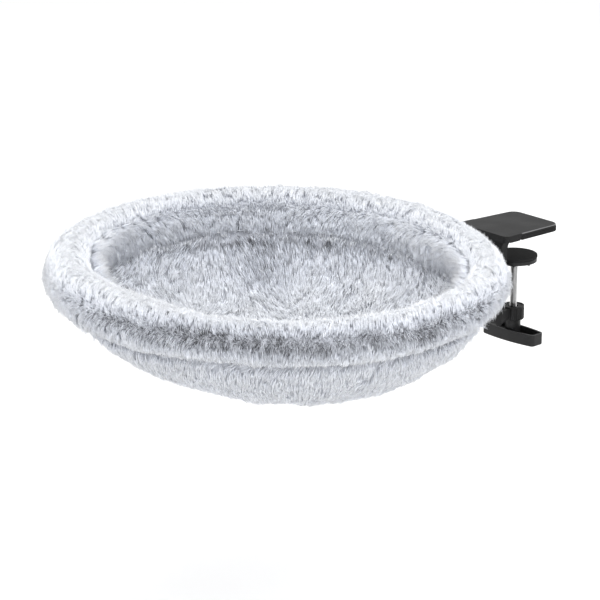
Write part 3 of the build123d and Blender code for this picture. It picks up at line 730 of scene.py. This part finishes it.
def strand_mesh(name, points, tones, shades):
    """Closed strands, thickest at the bend: points are their five corners each."""
    strands = len(points)
    corners = (strand_faces[None, :] + 5 * np.arange(strands)[:, None]).ravel()
    mesh = bpy.data.meshes.new(name)
    mesh.vertices.add(5 * strands)
    mesh.vertices.foreach_set("co", points.astype(np.float32).ravel())
    mesh.loops.add(len(corners))
    mesh.loops.foreach_set("vertex_index", corners.astype(np.int32))
    mesh.polygons.add(len(corners) // 3)
    mesh.polygons.foreach_set("loop_start", np.arange(0, len(corners), 3).astype(np.int32))
    mesh.update(calc_edges=True)
    marks = {
        "pile_share": np.tile([0, bend_share, bend_share, bend_share, 1], strands),
        "lock_tone": np.repeat(tones, 5),
        "root_shade": np.repeat(shades, 5),
    }
    for mark, values in marks.items():
        attribute = mesh.attributes.new(mark, "FLOAT", "POINT")
        attribute.data.foreach_set("value", values.astype(np.float32))
    mesh.shade_smooth()
    return put_mesh(name, mesh)


def comb_pile(name, cloth, ways, spacing, strands, length, width, curl, seed, panels):
    """Grows pile on a cloth, lock by lock, in a few panels that lie side by side.

    ways holds functions of the cloth's Spots: grows is how thick the pile stands,
    and 0 where the cloth has none, nap the way that it lies on the bed, lie how far
    it leans from the normal, in radians, reach its share of the length, parting how
    much darker it is, for its dark roots and for painted shade and shadow, and tone
    how bright it is, with painted light and shade in it.
    """
    chance = np.random.default_rng(seed)
    roots, normals = plant(cloth, ways["grows"], spacing, chance)
    locks = len(roots)
    spots = Spots(roots, normals)
    way = ways["nap"](spots) @ to_bed[:3, :3]
    way = unit(way - (way * normals).sum(axis=1, keepdims=True) * normals)
    turn = play(roots, turn_play, seed, chance)[:, None]
    way = way * np.cos(turn) + np.cross(normals, way) * np.sin(turn)
    cross = np.cross(normals, way)
    lean = ways["lie"](spots) + play(roots, lean_play, seed + 1, chance)
    reach = length * ways["reach"](spots)
    reach *= 1 + play(roots, reach_play, seed + 2, chance)
    tone = ways["tone"](spots) + chance.normal(0, lock_tone, locks)
    shade = ways["parting"](spots)
    shade *= 1 + play(roots, shade_play, seed + 3, chance)

    shape = (locks, strands, 1)
    spread = spacing * lock_spread * np.sqrt(chance.random(shape))
    heading = 2 * pi * chance.random(shape)
    way, cross, normals, roots = (each[:, None, :] for each in (way, cross, normals, roots))
    offset = spread * (np.cos(heading) * way + np.sin(heading) * cross)
    tilt = lean[:, None, None] + chance.normal(0, strand_lean, shape)
    longer = reach[:, None, None] * (1 + chance.normal(0, strand_length, shape))
    stray = chance.normal(0, stray_share, (locks, strands, 3)) * longer
    foot = roots + offset - root_depth * normals
    rising = normals * np.cos(rise_share * tilt) + way * np.sin(rise_share * tilt)
    falling = normals * np.cos(curl * tilt) + way * np.sin(curl * tilt)
    bend = foot + bend_share * longer * rising - bend_gather * offset + bend_stray * stray
    tip = bend + (1 - bend_share) * longer * falling - tip_gather * offset + tip_stray * stray
    axis = unit(tip - foot)
    side = unit(np.cross(axis, way + side_tilt * normals))
    other = np.cross(axis, side)
    corners = [foot]
    for corner in range(3):
        around = 2 * pi * corner / 3
        corners.append(bend + width * (cos(around) * side + sin(around) * other))
    corners.append(tip)
    points = np.stack(corners, axis=2).reshape(-1, 5, 3)
    tones = (tone[:, None] + chance.normal(0, strand_tone, (locks, strands))).ravel()
    shades = (shade[:, None] * (1 + chance.normal(0, strand_shade, (locks, strands)))).ravel()
    order = np.argsort(bearing(points[:, 0] - np.array(ring_place)))
    for panel, part in enumerate(np.array_split(order, panels)):
        pile = strand_mesh(f"{name}_{panel + 1}", points[part], tones[part], shades[part])
        fur.coat(pile)
        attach(pile, "clamp")


def part_height(spots):
    """How far above the parting a cloth faces, as a sine."""
    level = np.where(spots.offset > 0, outer_parting, inner_parting)
    return spots.facing[:, 2] - level - part_wander * drift(spots.places, part_wander_size, seed=3)


hidden_facing = -0.55
hidden_offset = 0.002
parting_growth = 1.3
parting_growth_width = 0.26


def ring_grows(spots):
    """The cover's outside, but not where the bowl's liner and cover touch it."""
    flat, facing = spots.flat, spots.facing
    outwards = (facing[:, :2] * ring_outwards(flat)[:, :2]).sum(axis=1)
    skin = outwards * spots.offset + facing[:, 2] * flat[:, 2] > 0
    hidden = (facing[:, 2] < hidden_facing) & (spots.offset < hidden_offset)
    thicker = 1 + parting_growth * bell(part_height(spots), parting_growth_width)
    return thicker * (skin & ~hidden)


def ring_nap(spots):
    """Up above the parting and down below it."""
    way = np.zeros_like(spots.flat)
    way[:, 2] = np.where(part_height(spots) > 0, 1.0, -1.0)
    return way


ring_pile = 0.0160
seam_rise = radians(-17)
# The next is the width of the painted shadow line along the seam.
seam_shadow_width = 0.003
seam_lap = 0.0145
lap_taper = 0.3
lap_swell = 0.6
laid_lean = 1.29
laid_width = 0.42
seam_lean = 0.74
seam_lean_gain = 0.4


def seam_reach(spots):
    """How far points of the cover's inner side lie above the seam with the liner."""
    rise = np.arctan2(spots.flat[:, 2], -spots.offset) - seam_rise
    return np.where(spots.offset < 0, bolster_radius * np.maximum(rise, 0), 1.0)


def lap_share(spots):
    """How much further the pile hangs over the seam away from front and back."""
    return 1 + lap_swell * np.sin(spots.turn - part_front) ** 2


def laid_share(spots):
    """0 at the parting, and towards 1 where the pile is laid down."""
    return 1 - np.exp(-np.abs(part_height(spots)) / laid_width)


def ring_lie(spots):
    """Upright along the parting, laid flatter away from it, and hanging at the seam."""
    lean = laid_lean * laid_share(spots)
    hanging = np.minimum(lean, seam_lean + seam_lean_gain * seam_reach(spots) / ring_pile)
    return np.where((spots.offset < 0) & (part_height(spots) < 0), hanging, lean)


pressed_turn = radians(76)
pressed_width = 0.32
pressed_share = 0.35
upright_share = 0.26
fringe_cut = 0.25


def ring_reach(spots):
    """Short where the pile stands up, and beside the clamp, where a desk presses it."""
    pressed = pressed_share * bell(spots.turn - pressed_turn, pressed_width)
    reach = (1 - pressed) * (upright_share + (1 - upright_share) * laid_share(spots))
    fringe = reach * (1 - fringe_cut * np.clip(-spots.facing[:, 2], 0, 1))
    lap = seam_lap * lap_share(spots) - lap_taper * seam_reach(spots)
    hanging = np.maximum(reach, lap / ring_pile)
    below = part_height(spots) < 0
    return np.select([below & (spots.offset < 0), below], [hanging, fringe], reach)


# Painted shade: the dark band above the parting widens over the front top, and a painted shadow line runs
# along the seam with the liner.
outer_depth = 0.10
outer_depth_gain = 0.60
inner_depth = 0.12
inner_depth_gain = 0.07
depth_power = 1.5
width_above = 0.24
front_top_shade_gain = 0.10
width_below = 0.54
seam_shadow_depth = 0.1


def ring_parting_and_shade(spots):
    """The dark line where the pile parts and its roots show, deepest at the front, with painted shade over
    the front top and a painted shadow line along the seam.
    """
    front = np.clip(spots.front, 0, 1)
    outer = outer_depth + outer_depth_gain * front**depth_power
    inner = inner_depth + inner_depth_gain * np.clip(-spots.front, 0, 1)
    depth = np.where(spots.offset > 0, outer, inner)
    away = part_height(spots)
    width = np.where(away > 0, width_above + front_top_shade_gain * front, width_below)
    return depth * bell(away, width) + seam_shadow_depth * bell(seam_reach(spots), seam_shadow_width)


# Painted light and shade: the ring's pile is dimmer than the liner's, and its inner side below the parting
# is lightened, with random streaks.
ring_shaded_brightness = 0.86
hanging_painted_light = 0.16
hanging_width = 0.3
streak_brightness = 0.07
streak_size = 0.006


def ring_painted_light_and_shade(spots):
    """Painted shade: dimmer than the liner's pile, and painted light on the inner side, where the pile
    hangs over the seam.
    """
    under = np.clip(-part_height(spots) / hanging_width, 0, 1)
    gain = hanging_painted_light + streak_brightness * drift(spots.places, streak_size, seed=9)
    return ring_shaded_brightness + np.where(spots.offset < 0, gain * under, 0)


ring_ways = dict(
    grows=ring_grows, nap=ring_nap, lie=ring_lie,
    reach=ring_reach, parting=ring_parting_and_shade, tone=ring_painted_light_and_shade,
)
comb_pile(
    "bolster_pile", ring_cover, ring_ways, spacing=0.0042, strands=16, length=ring_pile,
    width=0.00027, curl=1.65, seed=11, panels=5,
)

# Bowl liner: the fur that the cat lies on, sewn to the ring's inner side and let
# down into a hollow. Its knitted backing lies on the bowl's wadding, and its pile is
# combed down the wall and over the floor.
liner_start = (0.016, -0.00504)
liner_wall = (0.0352, -0.0462)
liner_foot = (0.0704, -0.0722)
liner_low = (0.0992, -0.0811)
liner_floor = (0.1344, -0.084)
liner_steps = (14, 9)
base_inset = 0.160
base_shares = (0.72, 0.45, 0.2)
level_tolerance = 0.00001
edge_tolerance = 0.0001
rim_gap = 0.0006
bowl_cloth_thickness = 0.002
fold_counts = (9, 14)
fold_phase = 1.1
fold_slant = 4.0
fold_share = 0.6
fold_depth = 0.0025
fold_middle = 0.5
fold_spread = 0.45
liner_lump_size = 0.05
liner_lump_depth = 0.003


def arc_points(first, second, third, steps):
    """Points of the arc through three section points, without its last one."""
    a, b, c = (Vector(point) for point in (first, second, third))
    corners = ((a, b, c), (b, c, a), (c, a, b))
    twice = 2 * sum(p.x * (q.y - r.y) for p, q, r in corners)
    x = sum(p.length_squared * (q.y - r.y) for p, q, r in corners) / twice
    y = sum(p.length_squared * (r.x - q.x) for p, q, r in corners) / twice
    start = atan2(a.y - y, a.x - x)
    sweep = (atan2(c.y - y, c.x - x) - start + pi) % (2 * pi) - pi
    radius = hypot(a.x - x, a.y - y)
    turns = [start + sweep * step / steps for step in range(steps)]
    return [(x + radius * cos(turn), y + radius * sin(turn)) for turn in turns]


def clear_of_ring(points, gap):
    """The points of a section that lie further than a gap from the ring."""
    return [point for point in points if Vector(point).length > bolster_radius + gap]


def on_base_edge(place, level):
    """True on the flat oval where a cloth's profile ends."""
    across, along = abs(place.x), abs(place.y)
    end_reach = hypot(across - end_centre, along) - (ring_end_radius - base_inset)
    side_reach = hypot(across, along + side_centre) - (side_radius - base_inset)
    near = min(abs(end_reach), abs(side_reach)) < edge_tolerance
    return near and abs(place.z - level) < level_tolerance


def bowl_cloth(name, profile, side):
    """A cloth of the bowl: its profile is (inset, up) points from the rim to the base.

    side is 1 for a cloth seen from above and -1 for one seen from below.
    """
    cloth = spin_round(name, [(-inset, up) for inset, up in profile], False)
    base_up = profile[-1][1]
    bpy.ops.object.mode_set(mode="EDIT")
    bpy.ops.mesh.select_all(action="DESELECT")
    bpy.ops.object.mode_set(mode="OBJECT")
    for edge in cloth.data.edges:
        ends = [cloth.data.vertices[i].co for i in edge.vertices]
        edge.select = all(on_base_edge(end, base_up) for end in ends)
    bpy.ops.object.mode_set(mode="EDIT")
    bpy.ops.mesh.select_mode(type="EDGE")
    last = 1.0
    for share in base_shares:
        bpy.ops.mesh.extrude_edges_move()
        scale = share / last
        bpy.ops.transform.resize(value=(scale, scale, 1), center_override=(0, 0, base_up))
        last = share
    bpy.ops.mesh.extrude_edges_move()
    bpy.ops.mesh.merge(type="CENTER")
    leave_edit()
    middle = min(cloth.data.polygons, key=lambda face: face.center.xy.length)
    if middle.normal.z * side < 0:
        turn_inside_out(cloth)
    return cloth


def fold_cloth(cloth, ripple):
    """Moves each point of a cloth along its normal by ripple(place), in metres."""
    normals = [vertex.normal.copy() for vertex in cloth.data.vertices]
    for vertex, normal in zip(cloth.data.vertices, normals):
        vertex.co += normal * ripple(vertex.co)


def thicken(cloth, thickness):
    """Gives a cloth its thickness on the side that doesn't show."""
    wall = cloth.modifiers.new("wall", "SOLIDIFY")
    wall.thickness = thickness
    wall.offset = -1
    return apply_all(cloth)


def liner_ripple(place):
    """Soft radial folds where the wall turns into the floor."""
    turn = atan2(place.y, place.x)
    reach = place.xy.length / ring_half_depth
    ring = max(0.0, 1 - abs(reach - fold_middle) / fold_spread)
    wave = sin(fold_counts[0] * turn + fold_phase)
    wave += fold_share * sin(fold_counts[1] * turn + fold_slant * reach)
    return fold_depth * ring * wave


liner_profile = clear_of_ring(arc_points(liner_start, liner_wall, liner_foot, liner_steps[0]), rim_gap)
liner_profile += arc_points(liner_foot, liner_low, liner_floor, liner_steps[1])
liner_profile += [liner_floor, (base_inset, liner_floor[1])]
liner = bowl_cloth("liner_backing", liner_profile, 1)
fold_cloth(liner, liner_ripple)
thicken(liner, bowl_cloth_thickness)
slacken(liner)
liner.data.transform(bed_matrix)
soften(liner, liner_lump_size, liner_lump_depth)
backing.coat(smooth(liner))
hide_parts("inner_bowl_liner")
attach(liner, "clamp")

# How the liner's pile lies. Distances are from the ring's surface, and the last two
# values place a painted fold shade on the far wall: a turn to each side, and an offset from the ring.
liner_facing = 0.05
bare_edge = 0.003
nap_meeting = 0.45
nap_fall = 0.02
wall_lean = 1.15
floor_lean = 0.16
edge_lean = 0.25
edge_lean_width = 0.014
edge_cut = 0.66
edge_cut_width = 0.0125
floor_facing = 0.75
floor_facing_width = 0.2
# Painted shade on the upward facing floor.
floor_painted_shade = 0.08
# Painted shade: a shadow line below the seam, darker steep walls, most at the back, random patches, and a
# fold on the far wall.
seam_shade = 0.26
seam_shade_place = 0.0105
seam_shade_width = 0.0022
wall_shade = 0.02
wall_back_shade = 0.42
wall_patch_shade = 0.10
wall_patch_size = 0.07
fold_shade = 0.22
fold_shade_width = (0.20, 0.02)
fold_shade_turn = radians(146)
fold_shade_offset = -0.042


def below_seam(spots):
    """How far points of the bowl lie from the ring's surface."""
    radius = bolster_radius - slack_thin * facing_share(spots.flat, *slack_reach)
    sag = slack_sag * facing_share(spots.flat, *sag_reach)
    return np.hypot(spots.offset, spots.flat[:, 2] + sag) - radius


def floor_share(spots):
    """0 on the wall and 1 on the floor."""
    return np.clip((spots.facing[:, 2] - floor_facing) / floor_facing_width, 0, 1)


def liner_grows(spots):
    """The liner's upper side, but for the edge that the ring's pile covers."""
    shown = (spots.facing[:, 2] > liner_facing) & (below_seam(spots) > bare_edge)
    return shown.astype(float)


def liner_nap(spots):
    """Down the wall, and over the floor to a place beyond the front."""
    way = np.array([cos(part_front), sin(part_front), 0]) * nap_meeting - spots.flat
    way[:, 2] = -nap_fall
    return unit(way)


def liner_lie(spots):
    """Laid down, flattest on the floor and under the pile that hangs from the ring."""
    edge = bell(below_seam(spots), edge_lean_width * lap_share(spots))
    return wall_lean + floor_lean * floor_share(spots) + edge_lean * edge


def liner_reach(spots):
    """Cut short at the seam."""
    return 1 - edge_cut * bell(below_seam(spots), edge_cut_width * lap_share(spots))


def liner_painted_shade(spots):
    """Painted shade: darker walls, most at the back, with a few patches and a fold, and a painted shadow
    line below the seam with the ring.
    """
    away = below_seam(spots) - seam_shade_place * lap_share(spots)
    fold = bell(np.abs(spots.turn) - fold_shade_turn, fold_shade_width[0])
    fold *= bell(spots.offset - fold_shade_offset, fold_shade_width[1])
    wall = wall_shade + wall_back_shade * np.clip(-spots.front, 0, 1) ** 2
    wall += wall_patch_shade * drift(spots.places, wall_patch_size, seed=5)
    wall *= 1 - spots.facing[:, 2]
    return seam_shade * bell(away, seam_shade_width) + fold_shade * fold + wall


def liner_floor_shade(spots):
    """Painted shade: a little darker on the floor."""
    return 1 - floor_painted_shade * floor_share(spots)


liner_ways = dict(
    grows=liner_grows, nap=liner_nap, lie=liner_lie,
    reach=liner_reach, parting=liner_painted_shade, tone=liner_floor_shade,
)
comb_pile(
    "liner_pile", liner, liner_ways, spacing=0.0048, strands=13, length=0.0190,
    width=0.00028, curl=1.15, seed=23, panels=4,
)

# Outer cover of the bowl: the same fur, sheared shorter, closed below by one flat
# base. It hangs from the ring's underside and holds the wadding.
cover_start = (0.003, -0.021)
cover_upper = (0.0136, -0.0413)
cover_shoulder = (0.0304, -0.0572)
cover_low_wall = (0.080, -0.088)
cover_base = (0.160, -0.106)
cover_steps = (10, 12)
ripple_counts = (7, 13)
ripple_depths = (0.0006, 0.0003)
ripple_phase = 0.6
ripple_slant = 60


def cover_ripple(place):
    """Slack of the cover between the ring and the base."""
    turn = atan2(place.y, place.x)
    wave = ripple_depths[0] * sin(ripple_counts[0] * turn + ripple_phase)
    return wave + ripple_depths[1] * sin(ripple_counts[1] * turn + ripple_slant * place.z)


cover_profile = clear_of_ring(arc_points(cover_start, cover_upper, cover_shoulder, cover_steps[0]), rim_gap)
cover_profile += arc_points(cover_shoulder, cover_low_wall, cover_base, cover_steps[1])
cover_profile += [cover_base]
outer_cover = bowl_cloth("outer_backing", cover_profile, -1)
fold_cloth(outer_cover, cover_ripple)
thicken(outer_cover, bowl_cloth_thickness)
slacken(outer_cover)
outer_cover.data.transform(bed_matrix)
backing.coat(smooth(outer_cover))
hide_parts("outer_bowl_cover")
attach(outer_cover, "clamp")

# How the cover's pile lies: it stands out in the crease under the ring, is laid down
# elsewhere, and leaves the zip's tape bare.
tape_low, tape_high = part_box("zip_tape")
tape_margins = (0.001, 0.004)
cover_facings = (0.3, -0.25)
crease_growth = 1.6
crease_width = 0.006
cover_fall = 0.06
cover_lean = 1.25
crease_lean = 0.70
# Painted shade: a shadow in the crease under the ring, and a pile dimmer than the liner's.
cover_shade = 0.04
crease_shade = 0.30
crease_shade_width = 0.010
cover_shaded_brightness = 0.91


def cover_grows(spots):
    """The outer cover's lower and outer side, fullest in the crease under the ring."""
    places, flat, facing = spots.places, spots.flat, spots.facing
    outward = (facing[:, :2] * unit(flat[:, :2])).sum(axis=1)
    above = places[:, 2] > tape_low.z - tape_margins[0]
    below = places[:, 2] < tape_high.z + tape_margins[1]
    on_tape = (np.abs(places[:, 0]) < tape_high.x) & above & below & (flat[:, 1] > 0)
    shown = (facing[:, 2] < cover_facings[0]) & (outward > cover_facings[1])
    return (1 + crease_growth * bell(below_seam(spots), crease_width)) * (shown & ~on_tape)


def cover_nap(spots):
    """Down the wall and in under the base."""
    way = -spots.flat
    way[:, 2] = -cover_fall
    return unit(way)


def cover_lie(spots):
    """Laid down, but standing out in the crease under the ring."""
    return cover_lean - crease_lean * bell(below_seam(spots), crease_width)


def cover_shade_and_crease_shadow(spots):
    """Evenly a little darker, with a painted shadow in the crease under the ring."""
    return cover_shade + crease_shade * bell(below_seam(spots), crease_shade_width)


def cover_reach(spots):
    return np.ones(len(spots.flat))


# Painted shade: the cover's pile is dimmer than the liner's.
def cover_shaded_tone(spots):
    return np.full(len(spots.flat), cover_shaded_brightness)


cover_ways = dict(
    grows=cover_grows, nap=cover_nap, lie=cover_lie,
    reach=cover_reach, parting=cover_shade_and_crease_shadow, tone=cover_shaded_tone,
)
comb_pile(
    "outer_pile", outer_cover, cover_ways, spacing=0.0054, strands=10, length=0.0140,
    width=0.00028, curl=1.25, seed=37, panels=3,
)

# Bowl wadding: one more layer of the same fibre, quilted to the bowl's shape between
# the liner and the cover. It follows the liner's folds above and the cover below.
fill_gap = 0.0036
ring_gap = 0.0025
fill_rim_steps = 6
fill_base_rise = 0.006
fill_weld_distance = 0.0001


def shift_profile(points, distance):
    """A section line moved sideways: down and outwards when distance is positive."""
    moved = []
    for index, point in enumerate(points):
        before = Vector(points[max(index - 1, 0)])
        after = Vector(points[min(index + 1, len(points) - 1)])
        along = (after - before).normalized()
        moved.append((point[0] + along.y * distance, point[1] - along.x * distance))
    return moved


def rim_points(first, last, steps):
    """Section points round the ring's underside, from one point to another."""
    start, finish = atan2(first[1], first[0]), atan2(last[1], last[0])
    reach = bolster_radius + ring_gap
    turns = [start + (finish - start) * step / steps for step in range(1, steps)]
    return [(reach * cos(turn), reach * sin(turn)) for turn in turns]


def fill_ripple(place):
    """The liner's folds, but none near the flat base below."""
    return liner_ripple(place) if place.z > fill_low[-1][1] + fill_base_rise else 0.0


fill_top = clear_of_ring(shift_profile(liner_profile, fill_gap), ring_gap)
fill_low = clear_of_ring(shift_profile(cover_profile, -fill_gap), ring_gap)
fill_top[-1] = (base_inset, fill_top[-1][1])
fill_low[-1] = (base_inset, fill_low[-1][1])
fill_rim = rim_points(fill_low[0], fill_top[0], fill_rim_steps)
top_layer = bowl_cloth("fill_top", [fill_low[0]] + fill_rim + fill_top, 1)
fold_cloth(top_layer, fill_ripple)
low_layer = bowl_cloth("fill_low", fill_low, -1)
bowl_wadding = join_pieces("bowl_wadding", [top_layer, low_layer])
edit_whole(bowl_wadding)
bpy.ops.mesh.remove_doubles(threshold=fill_weld_distance)
leave_edit()
slacken(bowl_wadding)
bowl_wadding.data.transform(bed_matrix)
wadding.coat(smooth(bowl_wadding))
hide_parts("bowl_padding")
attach(bowl_wadding, "clamp")

# Zip of the cover: woven polyester tape with a row of moulded teeth, sewn in under
# the ring's rear, so that the cover can come off for washing.
tape_dark_colour = (0.30, 0.31, 0.33, 1)
tape_light_colour = (0.46, 0.47, 0.49, 1)
tape_weave_size = 0.0006
tape_weave_depth = 0.0002
tape_cloth = Paint("woven_tape", {"Roughness": 0.85, "Specular IOR Level": 0.2})
tape_weave = tape_cloth.speckle(tape_weave_size)
tape_cloth.colour(tape_cloth.blend(tape_weave, tape_dark_colour, tape_light_colour))
tape_cloth.bump(tape_weave, tape_weave_depth)
tape_cloth.coat(nodes["zip_tape"])

zip_half_angle = radians(29)
zip_height = -0.032
zip_teeth = 170
tooth_size = (0.0009, 0.0016, 0.0030)
tooth_stand = 0.0018
nearest = min(cover_profile, key=lambda point: abs(point[1] - zip_height))
zip_reach = side_radius - (nearest[0] - tooth_stand)
teeth = []
for index in range(zip_teeth):
    turn = pi / 2 + zip_half_angle * (2 * index / (zip_teeth - 1) - 1)
    place = (zip_reach * cos(turn), zip_reach * sin(turn) - side_centre, zip_height)
    bpy.ops.object.select_all(action="DESELECT")
    bpy.ops.mesh.primitive_cube_add(size=1, location=place)
    tooth = bpy.context.object
    tooth.scale = tooth_size
    tooth.rotation_euler.z = turn + pi / 2
    teeth.append(tooth)
zip_row = join_pieces("zip_teeth", teeth)
zip_row.data.transform(bed_matrix)
nylon.coat(zip_row)
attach(zip_row, "clamp")

# Camera and light: the photograph's view, over a pale floor in soft studio light.
view_azimuth = radians(50)
view_elevation = radians(17)
view_distance = 2.946
view_target = Vector((-0.0573, -0.2542, -0.0439))
view_lens = 169.7
film_width = 36
floor_colour = (0.86, 0.86, 0.86, 1)
floor_size = 14
floor_drop = 0.22
sky_strength = 1.0


def look_at_bed(thing, place):
    """Puts a camera or a lamp at a place and turns it to the bed."""
    thing.location = place
    thing.rotation_euler = (view_target - Vector(place)).to_track_quat("-Z", "Y").to_euler()
    bpy.context.collection.objects.link(thing)


def area_light(name, place, size, watts):
    data = bpy.data.lights.new(name, "AREA")
    data.shape = "DISK"
    data.size = size
    data.energy = watts
    look_at_bed(bpy.data.objects.new(name, data), place)


out = cos(view_elevation)
back = Vector((out * sin(view_azimuth), -out * cos(view_azimuth), sin(view_elevation)))
camera_data = bpy.data.cameras.new("photo_camera")
camera_data.lens = view_lens
camera_data.sensor_width = film_width
camera = bpy.data.objects.new("photo_camera", camera_data)
look_at_bed(camera, view_target + view_distance * back)
bpy.context.scene.camera = camera

bpy.ops.object.select_all(action="DESELECT")
bpy.ops.mesh.primitive_plane_add(size=floor_size, location=(0, 0, cad_box[0].z - floor_drop))
floor = bpy.context.object
floor.name = "studio_floor"
paper = Paint("studio_paper", {"Base Color": floor_colour, "Roughness": 0.9, "Specular IOR Level": 0.1})
paper.coat(floor)

area_light("key_light", place=(2.2, -2.1, 1.7), size=2.4, watts=80)
area_light("top_light", place=(0.1, 0.2, 2.4), size=2.6, watts=42)
world = bpy.data.worlds.new("studio")
world.use_nodes = True
sky = world.node_tree.nodes["Background"]
sky.inputs["Color"].default_value = (1, 1, 1, 1)
sky.inputs["Strength"].default_value = sky_strength
bpy.context.scene.world = world
bpy.context.scene.view_settings.view_transform = "Standard"
